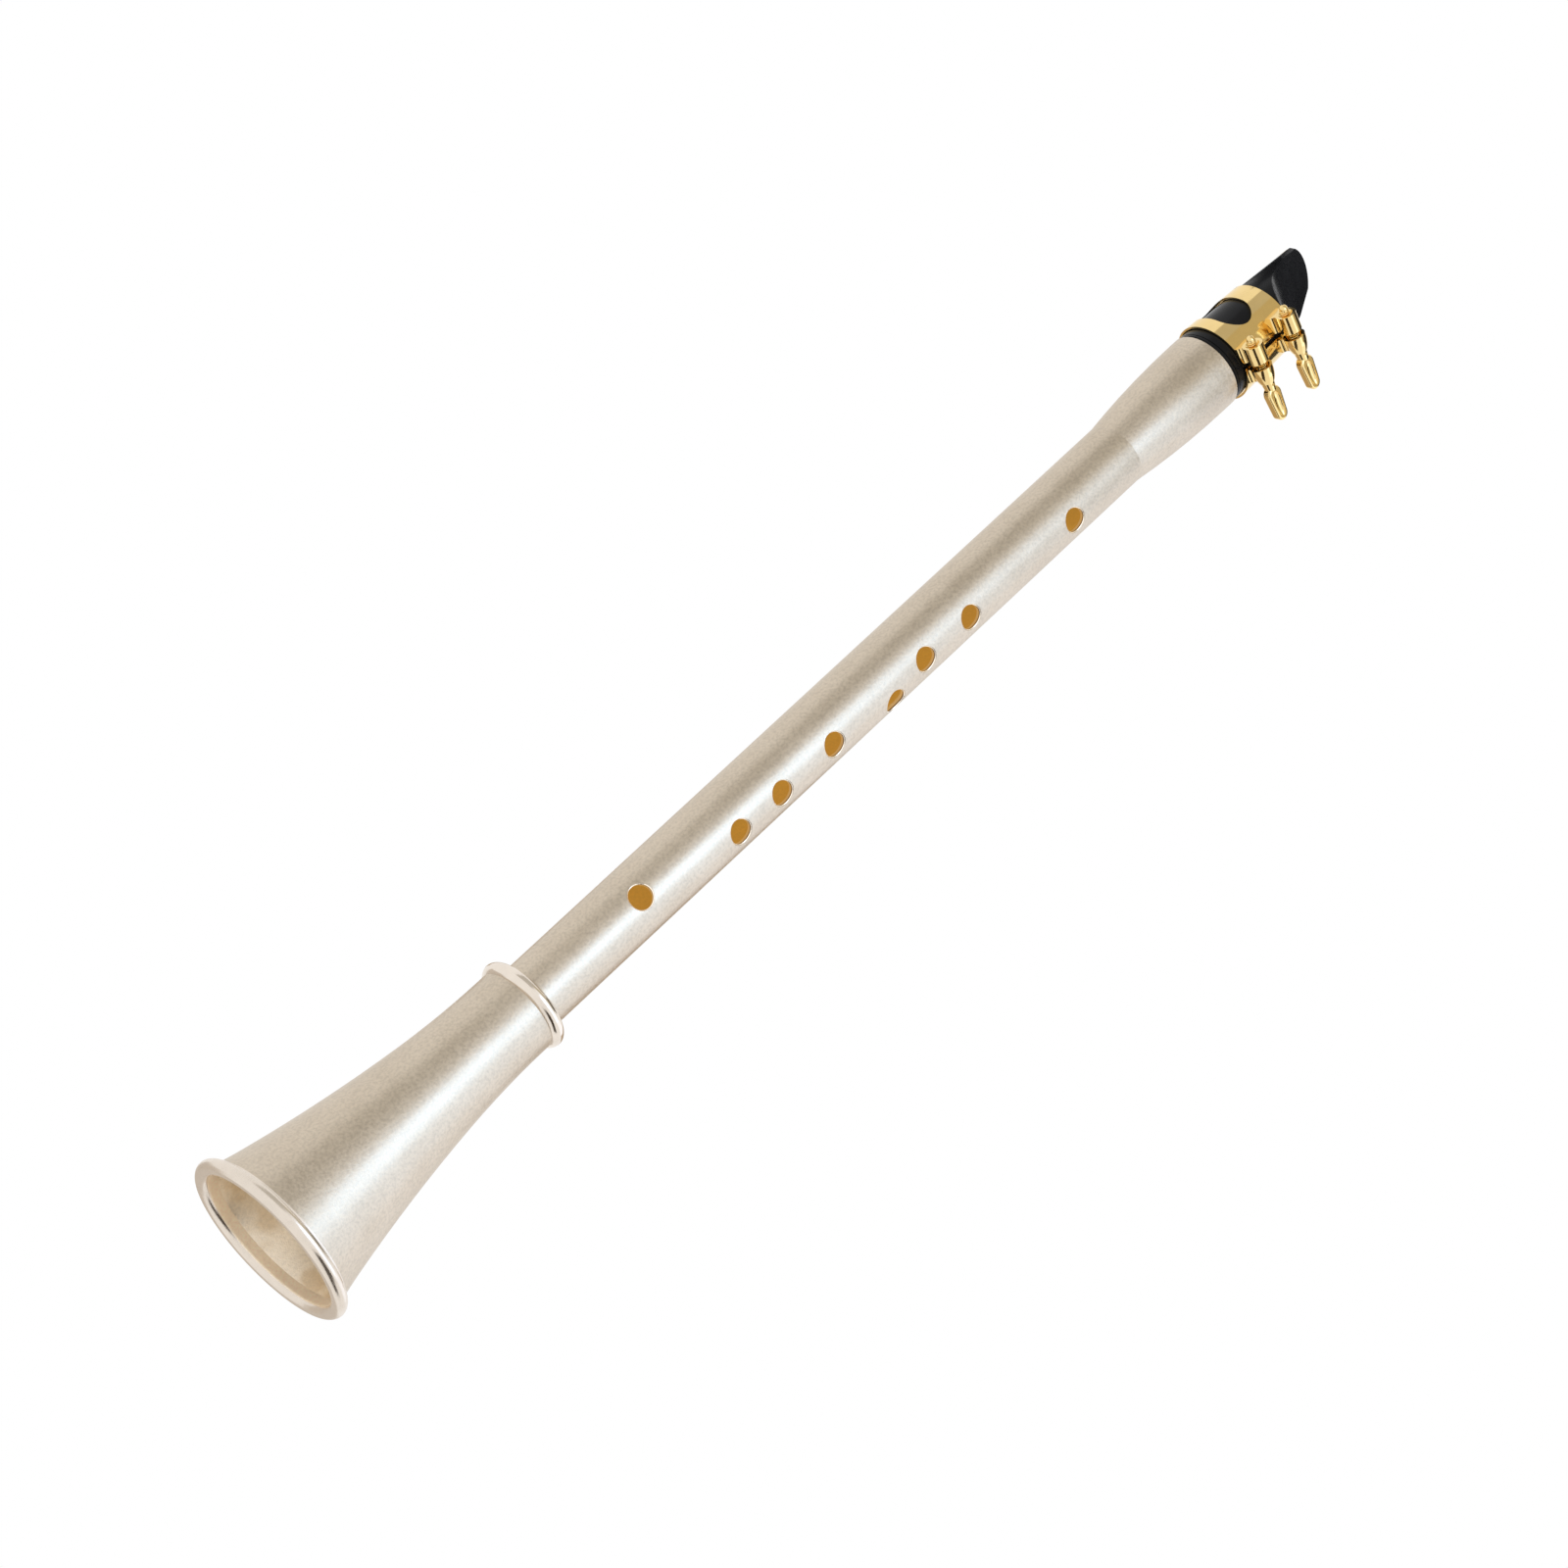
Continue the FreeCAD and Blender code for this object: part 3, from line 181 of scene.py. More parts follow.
def buildInsideMask():  # 1 where a turned piece faces its own axis, as inside a tube or a bell
    group, start, end = newGroup("insideMask", {"Edge": 0.7}, ("Inside", "Radius"))
    coords = addNode(group, "ShaderNodeTexCoord", (-900, -250))
    flat = addNode(group, "ShaderNodeVectorMath", (-650, -150), operation="MULTIPLY")
    flat.inputs[1].default_value = (1, 1, 0)
    group.links.new(coords.outputs["Object"], flat.inputs[0])
    unit = addNode(group, "ShaderNodeVectorMath", (-450, -50), operation="NORMALIZE")
    group.links.new(flat.outputs[0], unit.inputs[0])
    dot = addNode(group, "ShaderNodeVectorMath", (-250, 50), operation="DOT_PRODUCT")
    group.links.new(unit.outputs[0], dot.inputs[0])
    group.links.new(coords.outputs["Normal"], dot.inputs[1])
    turnedIn = mathNode(group, "MULTIPLY", dot.outputs["Value"], -1.0, (-50, 100))
    mask = mathNode(group, "GREATER_THAN", turnedIn, start.outputs["Edge"], (150, 100))
    radius = addNode(group, "ShaderNodeVectorMath", (-250, -200), operation="LENGTH")
    group.links.new(flat.outputs[0], radius.inputs[0])
    group.links.new(mask, end.inputs["Inside"])
    group.links.new(radius.outputs["Value"], end.inputs["Radius"])
    return group


handlingLook = {
    "smear": {"Detail": 4.0, "Roughness": 0.6, "Distortion": 0.6},
    "smearSpread": (0.35, 0.75),
    "hairline": {"Detail": 2.0, "Roughness": 0.5},
    "hairlineStretch": 0.04,
}


def buildHandling(look):  # faint smears and hairlines that polished and glossy pieces pick up
    group, start, end = newGroup(
        "handling", {"Smear Size": 0.006, "Hairline Size": 0.0003}, ("Smear", "Hairline"))
    coords = addNode(group, "ShaderNodeTexCoord", (-900, -250)).outputs["Object"]
    smearScale = mathNode(group, "DIVIDE", 1.0, start.outputs["Smear Size"], (-600, 150))
    smear = noiseNode(group, coords, smearScale, (-350, 150), **look["smear"])
    stretched = drawnOut(group, coords, look["hairlineStretch"], (-600, -200))
    lineScale = mathNode(group, "DIVIDE", 1.0, start.outputs["Hairline Size"], (-600, 0))
    hairline = noiseNode(group, stretched, lineScale, (-350, -200), **look["hairline"])
    smeared = rangeNode(group, smear, *look["smearSpread"], 0.0, 1.0, (200, 100))
    group.links.new(smeared, end.inputs["Smear"])
    group.links.new(hairline, end.inputs["Hairline"])
    return group


blastGrain = buildBlastGrain(blastLook)
insideMask = buildInsideMask()
handling = buildHandling(handlingLook)
print("shared node groups built")


# materials


def finishMaterial(tree, shader, place=(900, 0)):
    output = addNode(tree, "ShaderNodeOutputMaterial", place)
    tree.links.new(shader.outputs[0], output.inputs["Surface"])


def buildSurface(tree, look, colour, rough, height, **values):  # the shader, its bump and the output
    shader = fill(addNode(tree, "ShaderNodeBsdfPrincipled", (500, 0)), **values)
    bump = addNode(tree, "ShaderNodeBump", (200, -300))
    fill(bump, Strength=look["bumpStrength"], Distance=look["bumpDepth"])
    tree.links.new(height, bump.inputs["Height"])
    tree.links.new(colour, shader.inputs["Base Color"])
    feed(tree, rough, shader.inputs["Roughness"])
    tree.links.new(bump.outputs[0], shader.inputs["Normal"])
    finishMaterial(tree, shader)
    return shader


blastedLook = {
    "colour": (0.68, 0.588, 0.474),
    "shade": (0.64, 0.548, 0.435),
    "speckle": (0.82, 1.05),
    "grain": 0.0003,
    "cloud": 0.012,
    "roughLow": 0.34,
    "roughHigh": 0.42,
    "bumpStrength": 0.7,
    "bumpDepth": 0.00005,
    "insideEdge": 0.75,
    "insideDark": 0.84,
    "patchSpread": (0.45, 0.95),
}
tubeLook = {
    **blastedLook,
    # painted light: the bore's amber stands in for light bounced round inside the tube, and insideGlow
    # makes the bore glow though no lamp is there
    "inside": (0.65, 0.42, 0.088),
    "insidePatch": (0.65, 0.42, 0.088),
    "insideGlow": 0.30,
    # painted light: the finger holes' wall is painted paler than the bore and glows in holeWallLight
    "litHoleWall": (0.78, 0.64, 0.40),
    "holeWallLight": (0.62, 0.50, 0.25),
    # painted shade: the outer lip of each finger hole is dark, and gets no glow
    "holeLipShade": (0.24, 0.17, 0.09),
    "holeLipRadius": 0.00935,
    # painted highlight: the bevel round each finger hole is bright and glows in bevelLight
    "bevel": (0.96, 0.88, 0.76),
    "bevelLight": (0.90, 0.80, 0.68),
    "bevelRadius": (0.00966, 0.0099),
    "bevelSmoother": 0.1,
}
bellLook = {
    **blastedLook,
    # painted light: the bell's inside is painted much lighter than its outside; its darker patches are
    # random tone
    "inside": (0.97, 0.86, 0.70),
    "insidePatch": (0.78, 0.64, 0.46),
    "insideGlow": 0.0,
}


def blastedInside(tree, look, grain, colour):  # darker in the pits
    pits = rangeNode(tree, grain.outputs["Sparkle"], 0, 1, look["insideDark"], 1.0, (-400, 400))
    return mixColour(tree, pits, (0, 0, 0), colour, (100, 300))


def blastedMetal(name, look):
    material, tree = newMaterial(name)
    grain = placeGroup(tree, blastGrain, (-700, 0), Grain_Size=look["grain"], Cloud_Size=look["cloud"])
    mask = placeGroup(tree, insideMask, (-700, -350), Edge=look["insideEdge"])
    inside, radius = mask.outputs["Inside"], mask.outputs["Radius"]
    sparkle, cloud = grain.outputs["Sparkle"], grain.outputs["Cloud"]
    cloudy = mixColour(tree, cloud, look["colour"], look["shade"], (-400, 150))
    speckle = rangeNode(tree, sparkle, 0, 1, *look["speckle"], (-400, -50))
    speckled = mixColour(tree, speckle, (0, 0, 0), cloudy, (-200, 100))
    patches = rangeNode(tree, cloud, *look["patchSpread"], 0, 1, (-200, 300), True)
    patched = mixColour(tree, patches, look["inside"], look["insidePatch"], (0, 250))
    pitted = blastedInside(tree, look, grain, patched)
    coloured = mixColour(tree, inside, speckled, pitted, (200, 50))
    rough = rangeNode(tree, sparkle, 0, 1, look["roughLow"], look["roughHigh"], (-200, -150))
    if look["insideGlow"]:  # the tube, whose finger holes show their wall, painted lighter and glowing, a painted shade along the lip and a painted highlight on the bevel
        bevelFrom, bevelTo = look["bevelRadius"]
        below = mathNode(tree, "LESS_THAN", radius, bevelTo, (-400, -500))
        above = mathNode(tree, "GREATER_THAN", radius, bevelFrom, (-400, -650))
        bevel = mathNode(tree, "MULTIPLY", below, above, (-200, -550))
        deep = mathNode(tree, "LESS_THAN", radius, bevelFrom, (-400, -800))
        litHoleWall = mathNode(tree, "SUBTRACT", deep, inside, (-200, -700), True)
        outer = mathNode(tree, "GREATER_THAN", radius, look["holeLipRadius"], (-400, -950))
        lip = mathNode(tree, "MULTIPLY", litHoleWall, outer, (-200, -850))
        # painted light and shade on the finger holes: a paler hole wall, a dark painted shade along the
        # lip, a bright painted highlight on the bevel
        coloured = mixColour(tree, litHoleWall, coloured, look["litHoleWall"], (250, 200))
        coloured = mixColour(tree, lip, coloured, look["holeLipShade"], (300, 200))
        # painted highlight on the bevel
        coloured = mixColour(tree, bevel, coloured, look["bevel"], (350, 100))
        smoother = mathNode(tree, "MULTIPLY", bevel, look["bevelSmoother"], (0, -500))
        rough = mathNode(tree, "SUBTRACT", rough, smoother, (200, -500))
        # painted light: glow colours, amber in the bore, paler on the hole wall, none on the shaded lip,
        # light on the bevel
        lit = mixColour(tree, inside, (0, 0, 0), look["inside"], (0, -150))
        lit = mixColour(tree, litHoleWall, lit, look["holeWallLight"], (150, -150))
        lit = mixColour(tree, lip, lit, (0, 0, 0), (225, -150))
        lit = mixColour(tree, bevel, lit, look["bevelLight"], (300, -150))
    shader = buildSurface(tree, look, coloured, rough, grain.outputs["Height"], Metallic=1.0)
    # the bore, the hole walls and the bevel glow: painted light, though no lamp is there
    if look["insideGlow"]:
        tree.links.new(lit, shader.inputs["Emission Color"])
        fill(shader, Emission_Strength=look["insideGlow"])
    return material


polishedLook = {
    "colour": (0.84, 0.755, 0.66),
    "smearSize": 0.006,
    "smearTone": 0.93,
    "roughLow": 0.12,
    "roughHigh": 0.22,
    "bumpStrength": 0.25,
    "bumpDepth": 0.000008,
}
mouthLook = {
    **polishedLook,
    "colour": (0.80, 0.715, 0.62),
    "roughLow": 0.22,
    "roughHigh": 0.30,
    "insideEdge": 0.97,
    "insideRougher": 0.12,
    # painted light: the ring's inner wall glows in insideLight at insideGlow
    "insideLight": (0.125, 0.11, 0.09),
    "insideGlow": 1.0,
}
goldLook = {
    **polishedLook,
    "colour": (0.91, 0.68, 0.305),
    "smearSize": 0.004,
    "roughLow": 0.07,
    "roughHigh": 0.15,
}
turnedLook = {
    **polishedLook,
    "colour": (0.70, 0.68, 0.64),
    "roughLow": 0.26,
    "roughHigh": 0.36,
}


def polishedMetal(name, look, wallLook=None):
    material, tree = newMaterial(name)
    marks = placeGroup(tree, handling, (-700, 0), Smear_Size=look["smearSize"])
    smear = marks.outputs["Smear"]
    smeared = tuple(part * look["smearTone"] for part in look["colour"])
    tint = mixColour(tree, smear, look["colour"], smeared, (-300, 100))
    rough = rangeNode(tree, smear, 0, 1, look["roughLow"], look["roughHigh"], (-300, -100))
    if wallLook:  # the wall that faces the axis is blasted like the inside of the bell, in the bell's painted lighter inside colour, and glows with painted light
        mask = placeGroup(tree, insideMask, (-700, -350), Edge=look["insideEdge"])
        inside = mask.outputs["Inside"]
        grain = placeGroup(
            tree, blastGrain, (-700, 350), Grain_Size=wallLook["grain"], Cloud_Size=wallLook["cloud"])
        pitted = blastedInside(tree, wallLook, grain, wallLook["inside"])
        tint = mixColour(tree, inside, tint, pitted, (250, 200))
        rougher = mathNode(tree, "MULTIPLY", inside, look["insideRougher"], (0, 0))
        rough = mathNode(tree, "ADD", rough, rougher, (200, 0))
        lit = mixColour(tree, inside, (0, 0, 0), look["insideLight"], (0, -150))
    shader = buildSurface(tree, look, tint, rough, marks.outputs["Hairline"], Metallic=1.0)
    if wallLook:
        tree.links.new(lit, shader.inputs["Emission Color"])
        fill(shader, Emission_Strength=look["insideGlow"])
    return material


blackLook = {
    "colour": (0.0065, 0.0065, 0.0072),
    "worn": (0.011, 0.011, 0.012),
    "smearSize": 0.009,
    "roughLow": 0.20,
    "roughHigh": 0.30,
    "refraction": 1.45,
    "gloss": 0.17,
    "bumpStrength": 0.2,
    "bumpDepth": 0.00001,
}


def mouldedBlack(name, look):
    material, tree = newMaterial(name)
    smear = placeGroup(tree, handling, (-700, 0), Smear_Size=look["smearSize"]).outputs["Smear"]
    tint = mixColour(tree, smear, look["colour"], look["worn"], (-300, 100))
    rough = rangeNode(tree, smear, 0, 1, look["roughLow"], look["roughHigh"], (-300, -100))
    buildSurface(tree, look, tint, rough, smear, IOR=look["refraction"], Specular_IOR_Level=look["gloss"])
    return material


caneLook = {
    "pith": (0.80, 0.66, 0.40),
    "fibre": (0.62, 0.46, 0.22),
    "fibreScale": 3800.0,
    "fibreGrain": {"Detail": 3.0, "Roughness": 0.6},
    "fibreSpread": (0.4, 0.68),
    "fleck": (0.38, 0.24, 0.10),
    "fleckScale": 900.0,
    "fleckGrain": {"Detail": 2.0, "Roughness": 0.5},
    "fleckSpread": (0.62, 0.72),
    "fleckMost": 0.6,
    "stretch": 0.025,
    "roughSpread": (0.3, 0.7),
    "roughLow": 0.42,
    "roughHigh": 0.62,
    "gloss": 0.4,
    "bumpStrength": 0.35,
    "bumpDepth": 0.00003,
}


def caneWood(name, look):
    material, tree = newMaterial(name)
    coords = addNode(tree, "ShaderNodeTexCoord", (-1000, 0)).outputs["Object"]
    along = drawnOut(tree, coords, look["stretch"], (-800, 100))
    fibre = noiseNode(tree, along, look["fibreScale"], (-550, 200), **look["fibreGrain"])
    fleck = noiseNode(tree, along, look["fleckScale"], (-550, -100), **look["fleckGrain"])
    fibreMask = rangeNode(tree, fibre, *look["fibreSpread"], 0.0, 1.0, (-300, 200))
    fleckMask = rangeNode(tree, fleck, *look["fleckSpread"], 0.0, look["fleckMost"], (-300, -100))
    straw = mixColour(tree, fibreMask, look["pith"], look["fibre"], (-50, 200))
    flecked = mixColour(tree, fleckMask, straw, look["fleck"], (150, 150))
    rough = rangeNode(tree, fibre, *look["roughSpread"], look["roughLow"], look["roughHigh"], (-50, -50))
    buildSurface(tree, look, flecked, rough, fibre, Specular_IOR_Level=look["gloss"])
    return material


corkLook = {
    "light": (0.66, 0.47, 0.29),
    "dark": (0.40, 0.25, 0.13),
    "grainScale": 900.0,
    "grain": {"Detail": 4.0, "Roughness": 0.65},
    "grainSpread": (0.35, 0.65),
    "pore": (0.13, 0.07, 0.035),
    "poreScale": 650.0,
    "poreSpread": (0.10, 0.24),
    "rough": 0.8,
    "gloss": 0.25,
    "bumpStrength": 0.6,
    "bumpDepth": 0.0001,
}


def corkSleeve(name, look):
    material, tree = newMaterial(name)
    coords = addNode(tree, "ShaderNodeTexCoord", (-1000, 0)).outputs["Object"]
    grain = noiseNode(tree, coords, look["grainScale"], (-700, 200), **look["grain"])
    pores = addNode(tree, "ShaderNodeTexVoronoi", (-700, -100))
    fill(pores, Scale=look["poreScale"])
    tree.links.new(coords, pores.inputs["Vector"])
    grainMask = rangeNode(tree, grain, *look["grainSpread"], 0, 1, (-450, 200))
    body = mixColour(tree, grainMask, look["light"], look["dark"], (-200, 200))
    depth = pores.outputs["Distance"]
    poreMask = rangeNode(tree, depth, *look["poreSpread"], 1.0, 0.0, (-450, -100), True)
    coloured = mixColour(tree, poreMask, body, look["pore"], (50, 150))
    height = mathNode(tree, "SUBTRACT", grain, poreMask, (-50, -200))
    buildSurface(tree, look, coloured, look["rough"], height, Specular_IOR_Level=look["gloss"])
    return material


rubberLook = {
    "colour": (0.022, 0.022, 0.024),
    "dust": (0.06, 0.058, 0.055),
    "grain": 0.0002,
    "cloud": 0.004,
    "roughLow": 0.55,
    "roughHigh": 0.75,
    "gloss": 0.35,
    "bumpStrength": 0.3,
    "bumpDepth": 0.00002,
}


def sealRubber(name, look):
    material, tree = newMaterial(name)
    grain = placeGroup(tree, blastGrain, (-700, 0), Grain_Size=look["grain"], Cloud_Size=look["cloud"])
    sparkle, cloud = grain.outputs["Sparkle"], grain.outputs["Cloud"]
    coloured = mixColour(tree, cloud, look["colour"], look["dust"], (-300, 100))
    rough = rangeNode(tree, sparkle, 0, 1, look["roughLow"], look["roughHigh"], (-300, -100))
    buildSurface(tree, look, coloured, rough, grain.outputs["Height"], Specular_IOR_Level=look["gloss"])
    return material


blastedTube = blastedMetal("blastedTube", tubeLook)
blastedBell = blastedMetal("blastedBell", bellLook)
polishedRing = polishedMetal("polishedRing", polishedLook)
polishedMouth = polishedMetal("polishedMouth", mouthLook, bellLook)
goldLacquer = polishedMetal("goldLacquer", goldLook)
turnedAluminium = polishedMetal("turnedAluminium", turnedLook)
mouthpieceBlack = mouldedBlack("mouthpieceBlack", blackLook)
reedCane = caneWood("reedCane", caneLook)
tenonCork = corkSleeve("tenonCork", corkLook)
sealBlack = sealRubber("sealBlack", rubberLook)

nodeFinish = {
    "body_tube": blastedTube,
    "bell": blastedBell,
    "bell_mouth_ring": polishedMouth,
    "bell_collar_ring": polishedRing,
    "bell_bush": turnedAluminium,
    "seal_ring_lower": sealBlack,
    "seal_ring_upper": sealBlack,
    "mouthpiece_body": mouthpieceBlack,
    "mouthpiece_base_ring": mouthpieceBlack,
    "tenon_cork": tenonCork,
    "reed": reedCane,
    "ligature_band": goldLacquer,
}
for name, thing in cadNodes.items():
    finish = nodeFinish.get(name, goldLacquer)  # posts, screws, wings and pins are all gold
    if not thing.material_slots:
        thing.data.materials.append(finish)
    for slot in thing.material_slots:
        slot.material = finish
print("materials placed on", len(cadNodes), "nodes")


# threads on the bare lengths of the two screws, outside the barrel's end and between barrel and cup

threadLook = {
    "shaftRadius": 0.0013,
    "height": 0.00013,
    "sink": 0.00003,
    "pitch": 0.00062,
    "footReach": 0.38,
    "crestReach": 0.1,
    "stepsPerTurn": 28,
    "fadeSteps": 12,
    "runs": ((-0.00835, -0.00625), (-0.00080, 0.00330)),
}


def threadRidge(name, joint, look, body):
    axis = Vector(joint["axis"]).normalized()
    middle = Vector(joint["pos_m"])
    upward = Vector((0, 0, 1))
    sideways = axis.cross(upward)
    mesh = bmesh.new()
    for start, end in look["runs"]:
        steps = int((end - start) / look["pitch"] * look["stepsPerTurn"])
        rows = []
        for step in range(steps + 1):
            share = step / steps
            angle = 2 * math.pi * step / look["stepsPerTurn"]
            spoke = upward * math.cos(angle) + sideways * math.sin(angle)
            ends = min(share * steps, (1 - share) * steps)
            crest = look["height"] * min(1.0, ends / look["fadeSteps"])  # runs out at both ends
            along = start + (end - start) * share
            row = []
            for shift, rise in ((-look["footReach"], -look["sink"]), (-look["crestReach"], crest),
                                (look["crestReach"], crest), (look["footReach"], -look["sink"])):
                reach = spoke * (look["shaftRadius"] + rise)
                row.append(mesh.verts.new(middle + axis * (along + shift * look["pitch"]) + reach))
            rows.append(row)
        for before, after in zip(rows, rows[1:]):
            for index in range(4):
                beside = (index + 1) % 4
                mesh.faces.new((before[index], before[beside], after[beside], after[index]))
        mesh.faces.new(rows[0])
        mesh.faces.new(rows[-1][::-1])
    bmesh.ops.recalc_face_normals(mesh, faces=mesh.faces)
    data = bpy.data.meshes.new(name)
    mesh.to_mesh(data)
    mesh.free()
    ridge = bpy.data.objects.new(name, data)
    sceneNow.collection.objects.link(ridge)
    data.materials.append(goldLacquer)
    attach(ridge, body)


jointByName = {joint["name"]: joint for joint in frame["record"]["behaviour"]["joints"]}
for which in ("lower", "upper"):
    turn = jointByName["screw_%s_turn" % which]
    threadRidge("screw_thread_" + which, turn, threadLook, "thumb_screw_" + which)
print("threads cut")


# camera, at the photograph's angle

cameraLook = {
    "location": (-0.6342, -0.8138, -0.2858),
    "right": (0.3450, -0.6650, 0.66224),
    "up": (-0.7532, 0.2247, 0.61820),
    "back": (-0.5599, -0.7121, -0.42341),
    "lens": 94.5,
    "sensor": 36.0,
    "clip": (0.01, 50.0),
}


def buildCamera(look):
    data = bpy.data.cameras.new("photoCamera")
    data.lens = look["lens"]
    data.sensor_width = look["sensor"]
    data.clip_start, data.clip_end = look["clip"]
    camera = bpy.data.objects.new("photoCamera", data)
    sceneNow.collection.objects.link(camera)
    turn = Matrix((look["right"], look["up"], look["back"])).transposed().to_4x4()
    camera.matrix_world = Matrix.Translation(look["location"]) @ turn
    sceneNow.camera = camera


buildCamera(cameraLook)
print("camera placed")


# studio: floor, world, lamps and cards

studioLook = {
    "floorSize": 6.0,
    "floorGap": 0.0001,
    "floorColour": (0.86, 0.855, 0.845),
    "floorGloss": 0.1,
    "floorFade": (0.35, 1.6),
    "cardGloss": 0.0,
    "worldWhite": 1.0,
    "worldFill": 0.85,
    "paperRough": 0.9,
}
lampLooks = {
    "keyLamp": {"size": (0.32, 0.24), "power": 0.67, "colour": (0.44, 0.67, 1.0), "around": 0.17,
                "azimuth": -101.0, "elevation": 20.0, "distance": 0.62},
    "sideLamp": {"size": (2.4, 1.1), "power": 6.2, "colour": (0.43, 0.65, 1.0), "around": 0.22,
                 "azimuth": -78.0, "elevation": 24.0, "distance": 1.9},
    "bellLamp": {"size": (0.42, 1.1), "power": 0.25, "colour": (0.56, 0.74, 1.0), "around": 0.05,
                 "azimuth": -97.0, "elevation": 55.0, "distance": 1.9},
    "edgeLamp": {"size": (1.9, 1.1), "power": 2.4, "colour": (0.58, 0.71, 1.0), "around": 0.22,
                 "azimuth": -20.0, "elevation": 24.0, "distance": 1.9},
}
cardLooks = {
    "sideCard": {"size": (1.35, 0.80), "colour": (0.66, 0.63, 0.565), "around": 0.22,
                 "azimuth": -164.0, "elevation": 23.7, "distance": 1.64},
    "bellCard": {"size": (1.2, 1.2), "colour": (0.66, 0.63, 0.57), "around": 0.05,
                 "azimuth": -164.0, "elevation": 57.0, "distance": 1.9},
    "bandCard": {"size": (0.66, 0.30), "colour": (0.66, 0.59, 0.43), "around": 0.405,
                 "azimuth": -96.0, "elevation": 50.0, "distance": 0.38},
    "beakCard": {"size": (0.28, 0.24), "colour": (0.06, 0.055, 0.05), "around": 0.42,
                 "azimuth": -27.0, "elevation": 51.0, "distance": 0.36},
    "floorCard": {"size": (1.3, 0.5), "colour": (0.05, 0.035, 0.02), "around": 0.405,
                  "azimuth": -43.0, "elevation": -42.0, "distance": 1.5},
    "backCard": {"size": (0.34, 0.26), "colour": (0.56, 0.42, 0.28), "around": 0.405,
                 "azimuth": 42.0, "elevation": -34.0, "distance": 0.27},
    "flagCard": {"size": (0.070, 0.038), "colour": (0.02, 0.02, 0.02), "around": 0.4745,
                 "azimuth": 115.0, "elevation": 0.0, "distance": 0.05},
    "throatCard": {"size": (0.17, 0.13), "colour": (0.06, 0.042, 0.025), "around": 0.0,
                   "azimuth": -64.0, "elevation": -18.0, "distance": 0.25},
    "ringCard": {"size": (0.34, 0.18), "colour": (0.72, 0.635, 0.54), "around": 0.0,
                 "azimuth": 66.0, "elevation": -18.0, "distance": 0.20},
}


def aim(thing, look):  # stands off the point at this height on the bore's axis, and faces it
    middle = Vector((0, 0, look["around"]))
    azimuth, elevation = math.radians(look["azimuth"]), math.radians(look["elevation"])
    way = Vector((math.cos(azimuth) * math.cos(elevation), math.sin(azimuth) * math.cos(elevation),
                  math.sin(elevation)))
    thing.location = middle + way * look["distance"]
    thing.rotation_mode = "QUATERNION"
    thing.rotation_quaternion = (-way).to_track_quat("-Z", "Y")


def hideFrom(thing, *rays):
    for ray in rays:
        setattr(thing, "visible_" + ray, False)


def flatPanel(name, width, height):
    mesh = bpy.data.meshes.new(name)
    halfX, halfY = width / 2, height / 2
    corners = [(-halfX, -halfY, 0), (halfX, -halfY, 0), (halfX, halfY, 0), (-halfX, halfY, 0)]
    mesh.from_pydata(corners, [], [(0, 1, 2, 3)])
    panel = bpy.data.objects.new(name, mesh)
    sceneNow.collection.objects.link(panel)
    return panel


def paperShader(tree, colour, gloss):
    paper = addNode(tree, "ShaderNodeBsdfPrincipled", (0, 100))
    feed(tree, colour, paper.inputs["Base Color"])
    return fill(paper, Roughness=studioLook["paperRough"], Specular_IOR_Level=gloss)


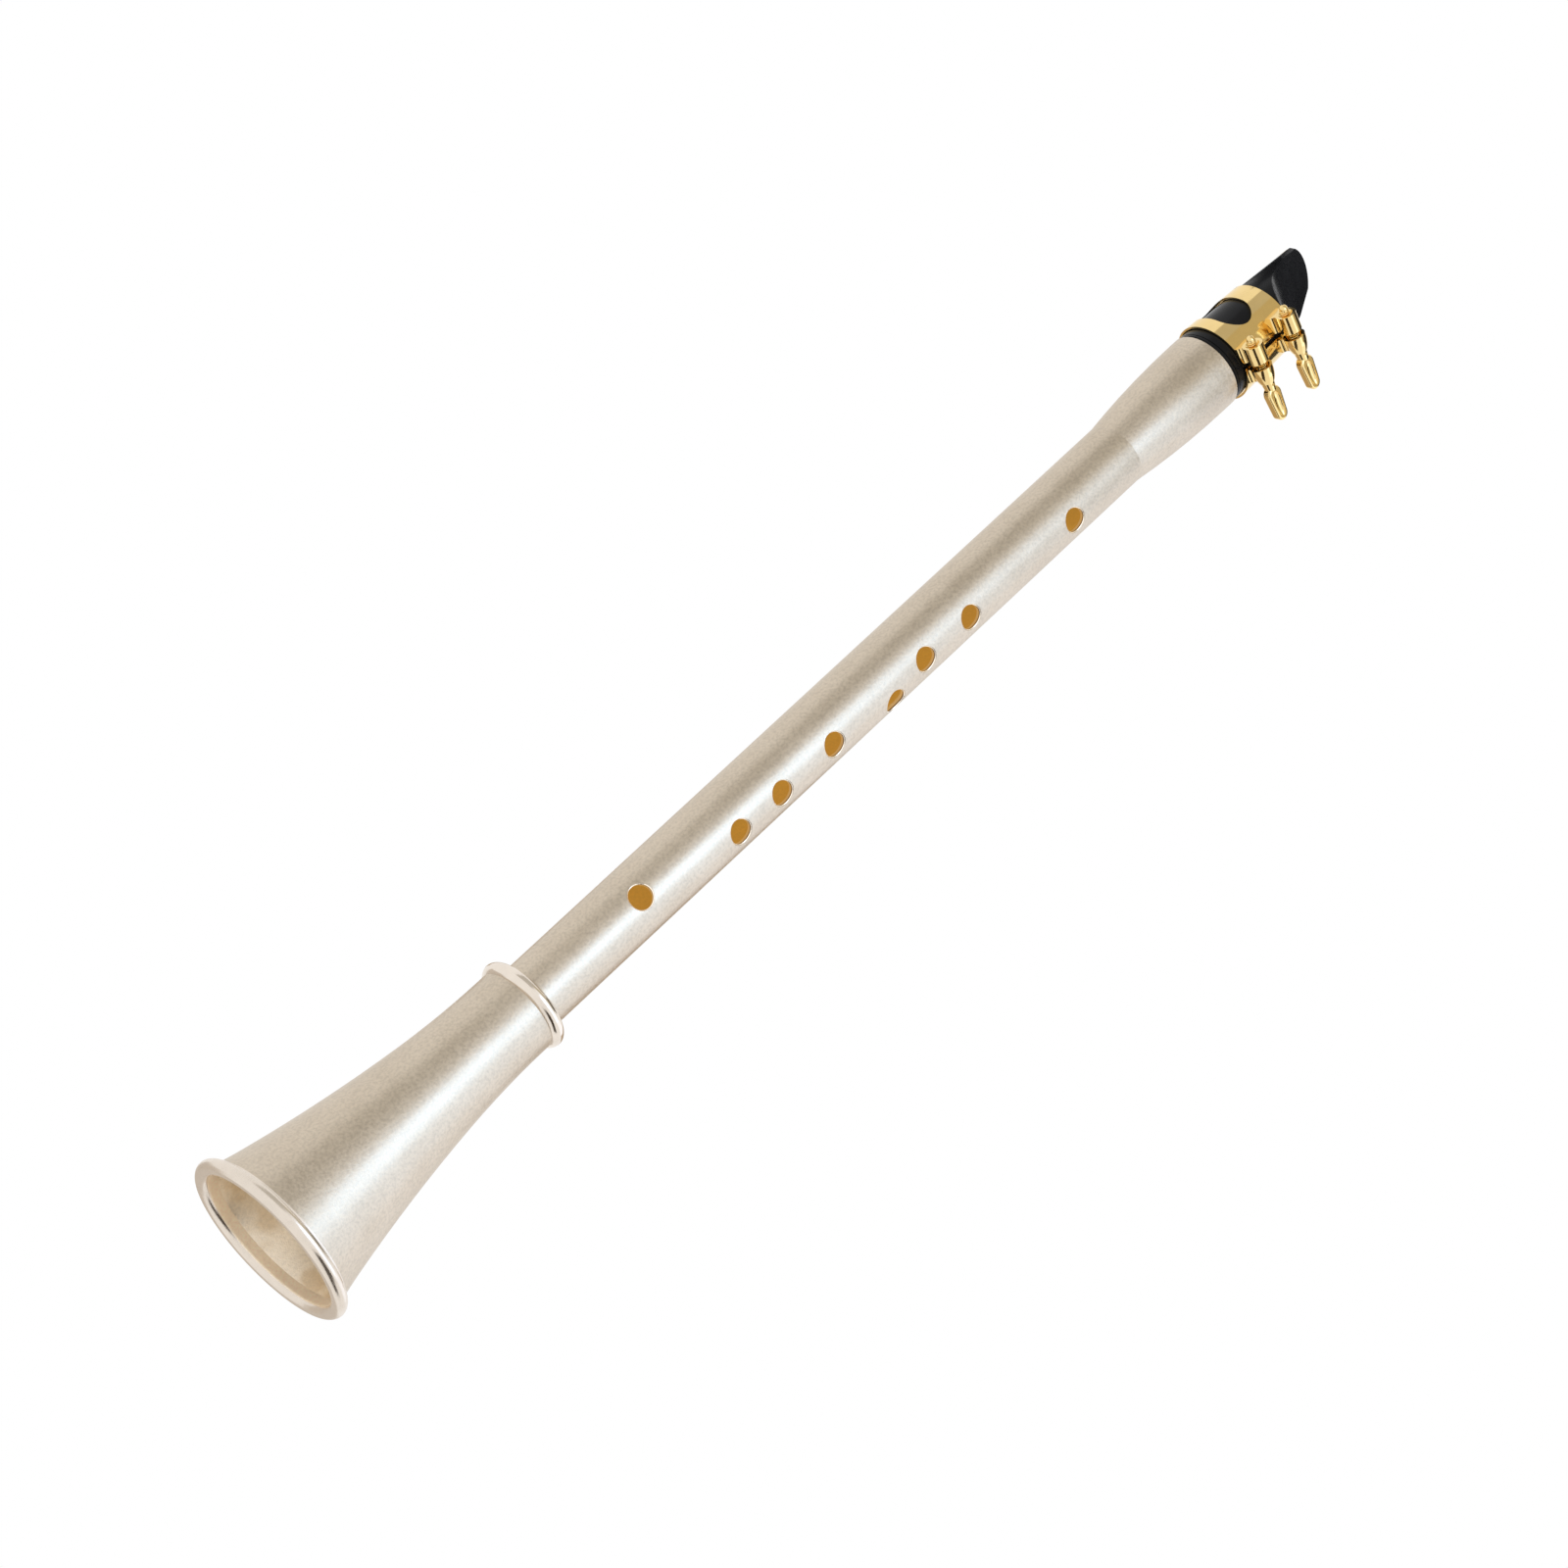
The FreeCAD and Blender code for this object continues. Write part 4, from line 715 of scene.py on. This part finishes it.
def buildFloor(look):  # clear from below, and fading into the white far out
    floor = flatPanel("floor", look["floorSize"], look["floorSize"])
    floor.location.z = cadBox[0][2] - look["floorGap"]
    hideFrom(floor, "glossy", "diffuse", "shadow", "transmission")
    material, tree = newMaterial("paleFloor")
    paper = paperShader(tree, look["floorColour"], look["floorGloss"])
    clear = addNode(tree, "ShaderNodeBsdfTransparent", (0, -300))
    side = addNode(tree, "ShaderNodeNewGeometry", (-300, 500))
    coords = addNode(tree, "ShaderNodeTexCoord", (-700, 300))
    reach = addNode(tree, "ShaderNodeVectorMath", (-500, 300), operation="LENGTH")
    tree.links.new(coords.outputs["Object"], reach.inputs[0])
    faded = rangeNode(tree, reach.outputs["Value"], *look["floorFade"], 0, 1, (-300, 300), True)
    clearness = mathNode(tree, "MAXIMUM", side.outputs["Backfacing"], faded, (0, 350))
    mixer = mixShader(tree, clearness, paper.outputs[0], clear.outputs[0], (300, 0))
    finishMaterial(tree, mixer, (600, 0))
    floor.data.materials.append(material)


def buildWorld(look):  # white to the camera, in the gloss and through glass, and softer as light
    world = bpy.data.worlds.new("studioWorld")
    sceneNow.world = world
    world.use_nodes = True
    tree = world.node_tree
    tree.nodes.clear()
    rays = addNode(tree, "ShaderNodeLightPath", (-700, 0)).outputs
    shown = mathNode(tree, "MAXIMUM", rays["Is Camera Ray"], rays["Is Glossy Ray"], (-450, 100))
    shown = mathNode(tree, "MAXIMUM", shown, rays["Is Transmission Ray"], (-250, 50))
    white = fill(addNode(tree, "ShaderNodeBackground", (0, 100)), Strength=look["worldWhite"])
    soft = fill(addNode(tree, "ShaderNodeBackground", (0, -100)), Strength=look["worldFill"])
    for background in (white, soft):
        fill(background, Color=(1, 1, 1, 1))
    mixer = mixShader(tree, shown, soft.outputs[0], white.outputs[0], (250, 0))
    output = addNode(tree, "ShaderNodeOutputWorld", (500, 0))
    tree.links.new(mixer.outputs[0], output.inputs["Surface"])


def buildLamp(name, look):
    data = bpy.data.lights.new(name, "AREA")
    data.shape = "RECTANGLE"
    data.size, data.size_y = look["size"]
    data.energy = look["power"]
    data.color = look["colour"]
    lamp = bpy.data.objects.new(name, data)
    sceneNow.collection.objects.link(lamp)
    aim(lamp, look)
    hideFrom(lamp, "camera")


def buildCard(name, look):  # only the gloss sees it, as a darker or warmer band
    card = flatPanel(name, *look["size"])
    aim(card, look)
    hideFrom(card, "camera", "diffuse", "shadow", "transmission")
    material, tree = newMaterial(name)
    paper = paperShader(tree, look["colour"], studioLook["cardGloss"])
    finishMaterial(tree, paper, (300, 0))
    card.data.materials.append(material)


buildFloor(studioLook)
buildWorld(studioLook)
for name, look in lampLooks.items():
    buildLamp(name, look)
for name, look in cardLooks.items():
    buildCard(name, look)
sceneNow.view_settings.view_transform = "Standard"
print("studio set up")
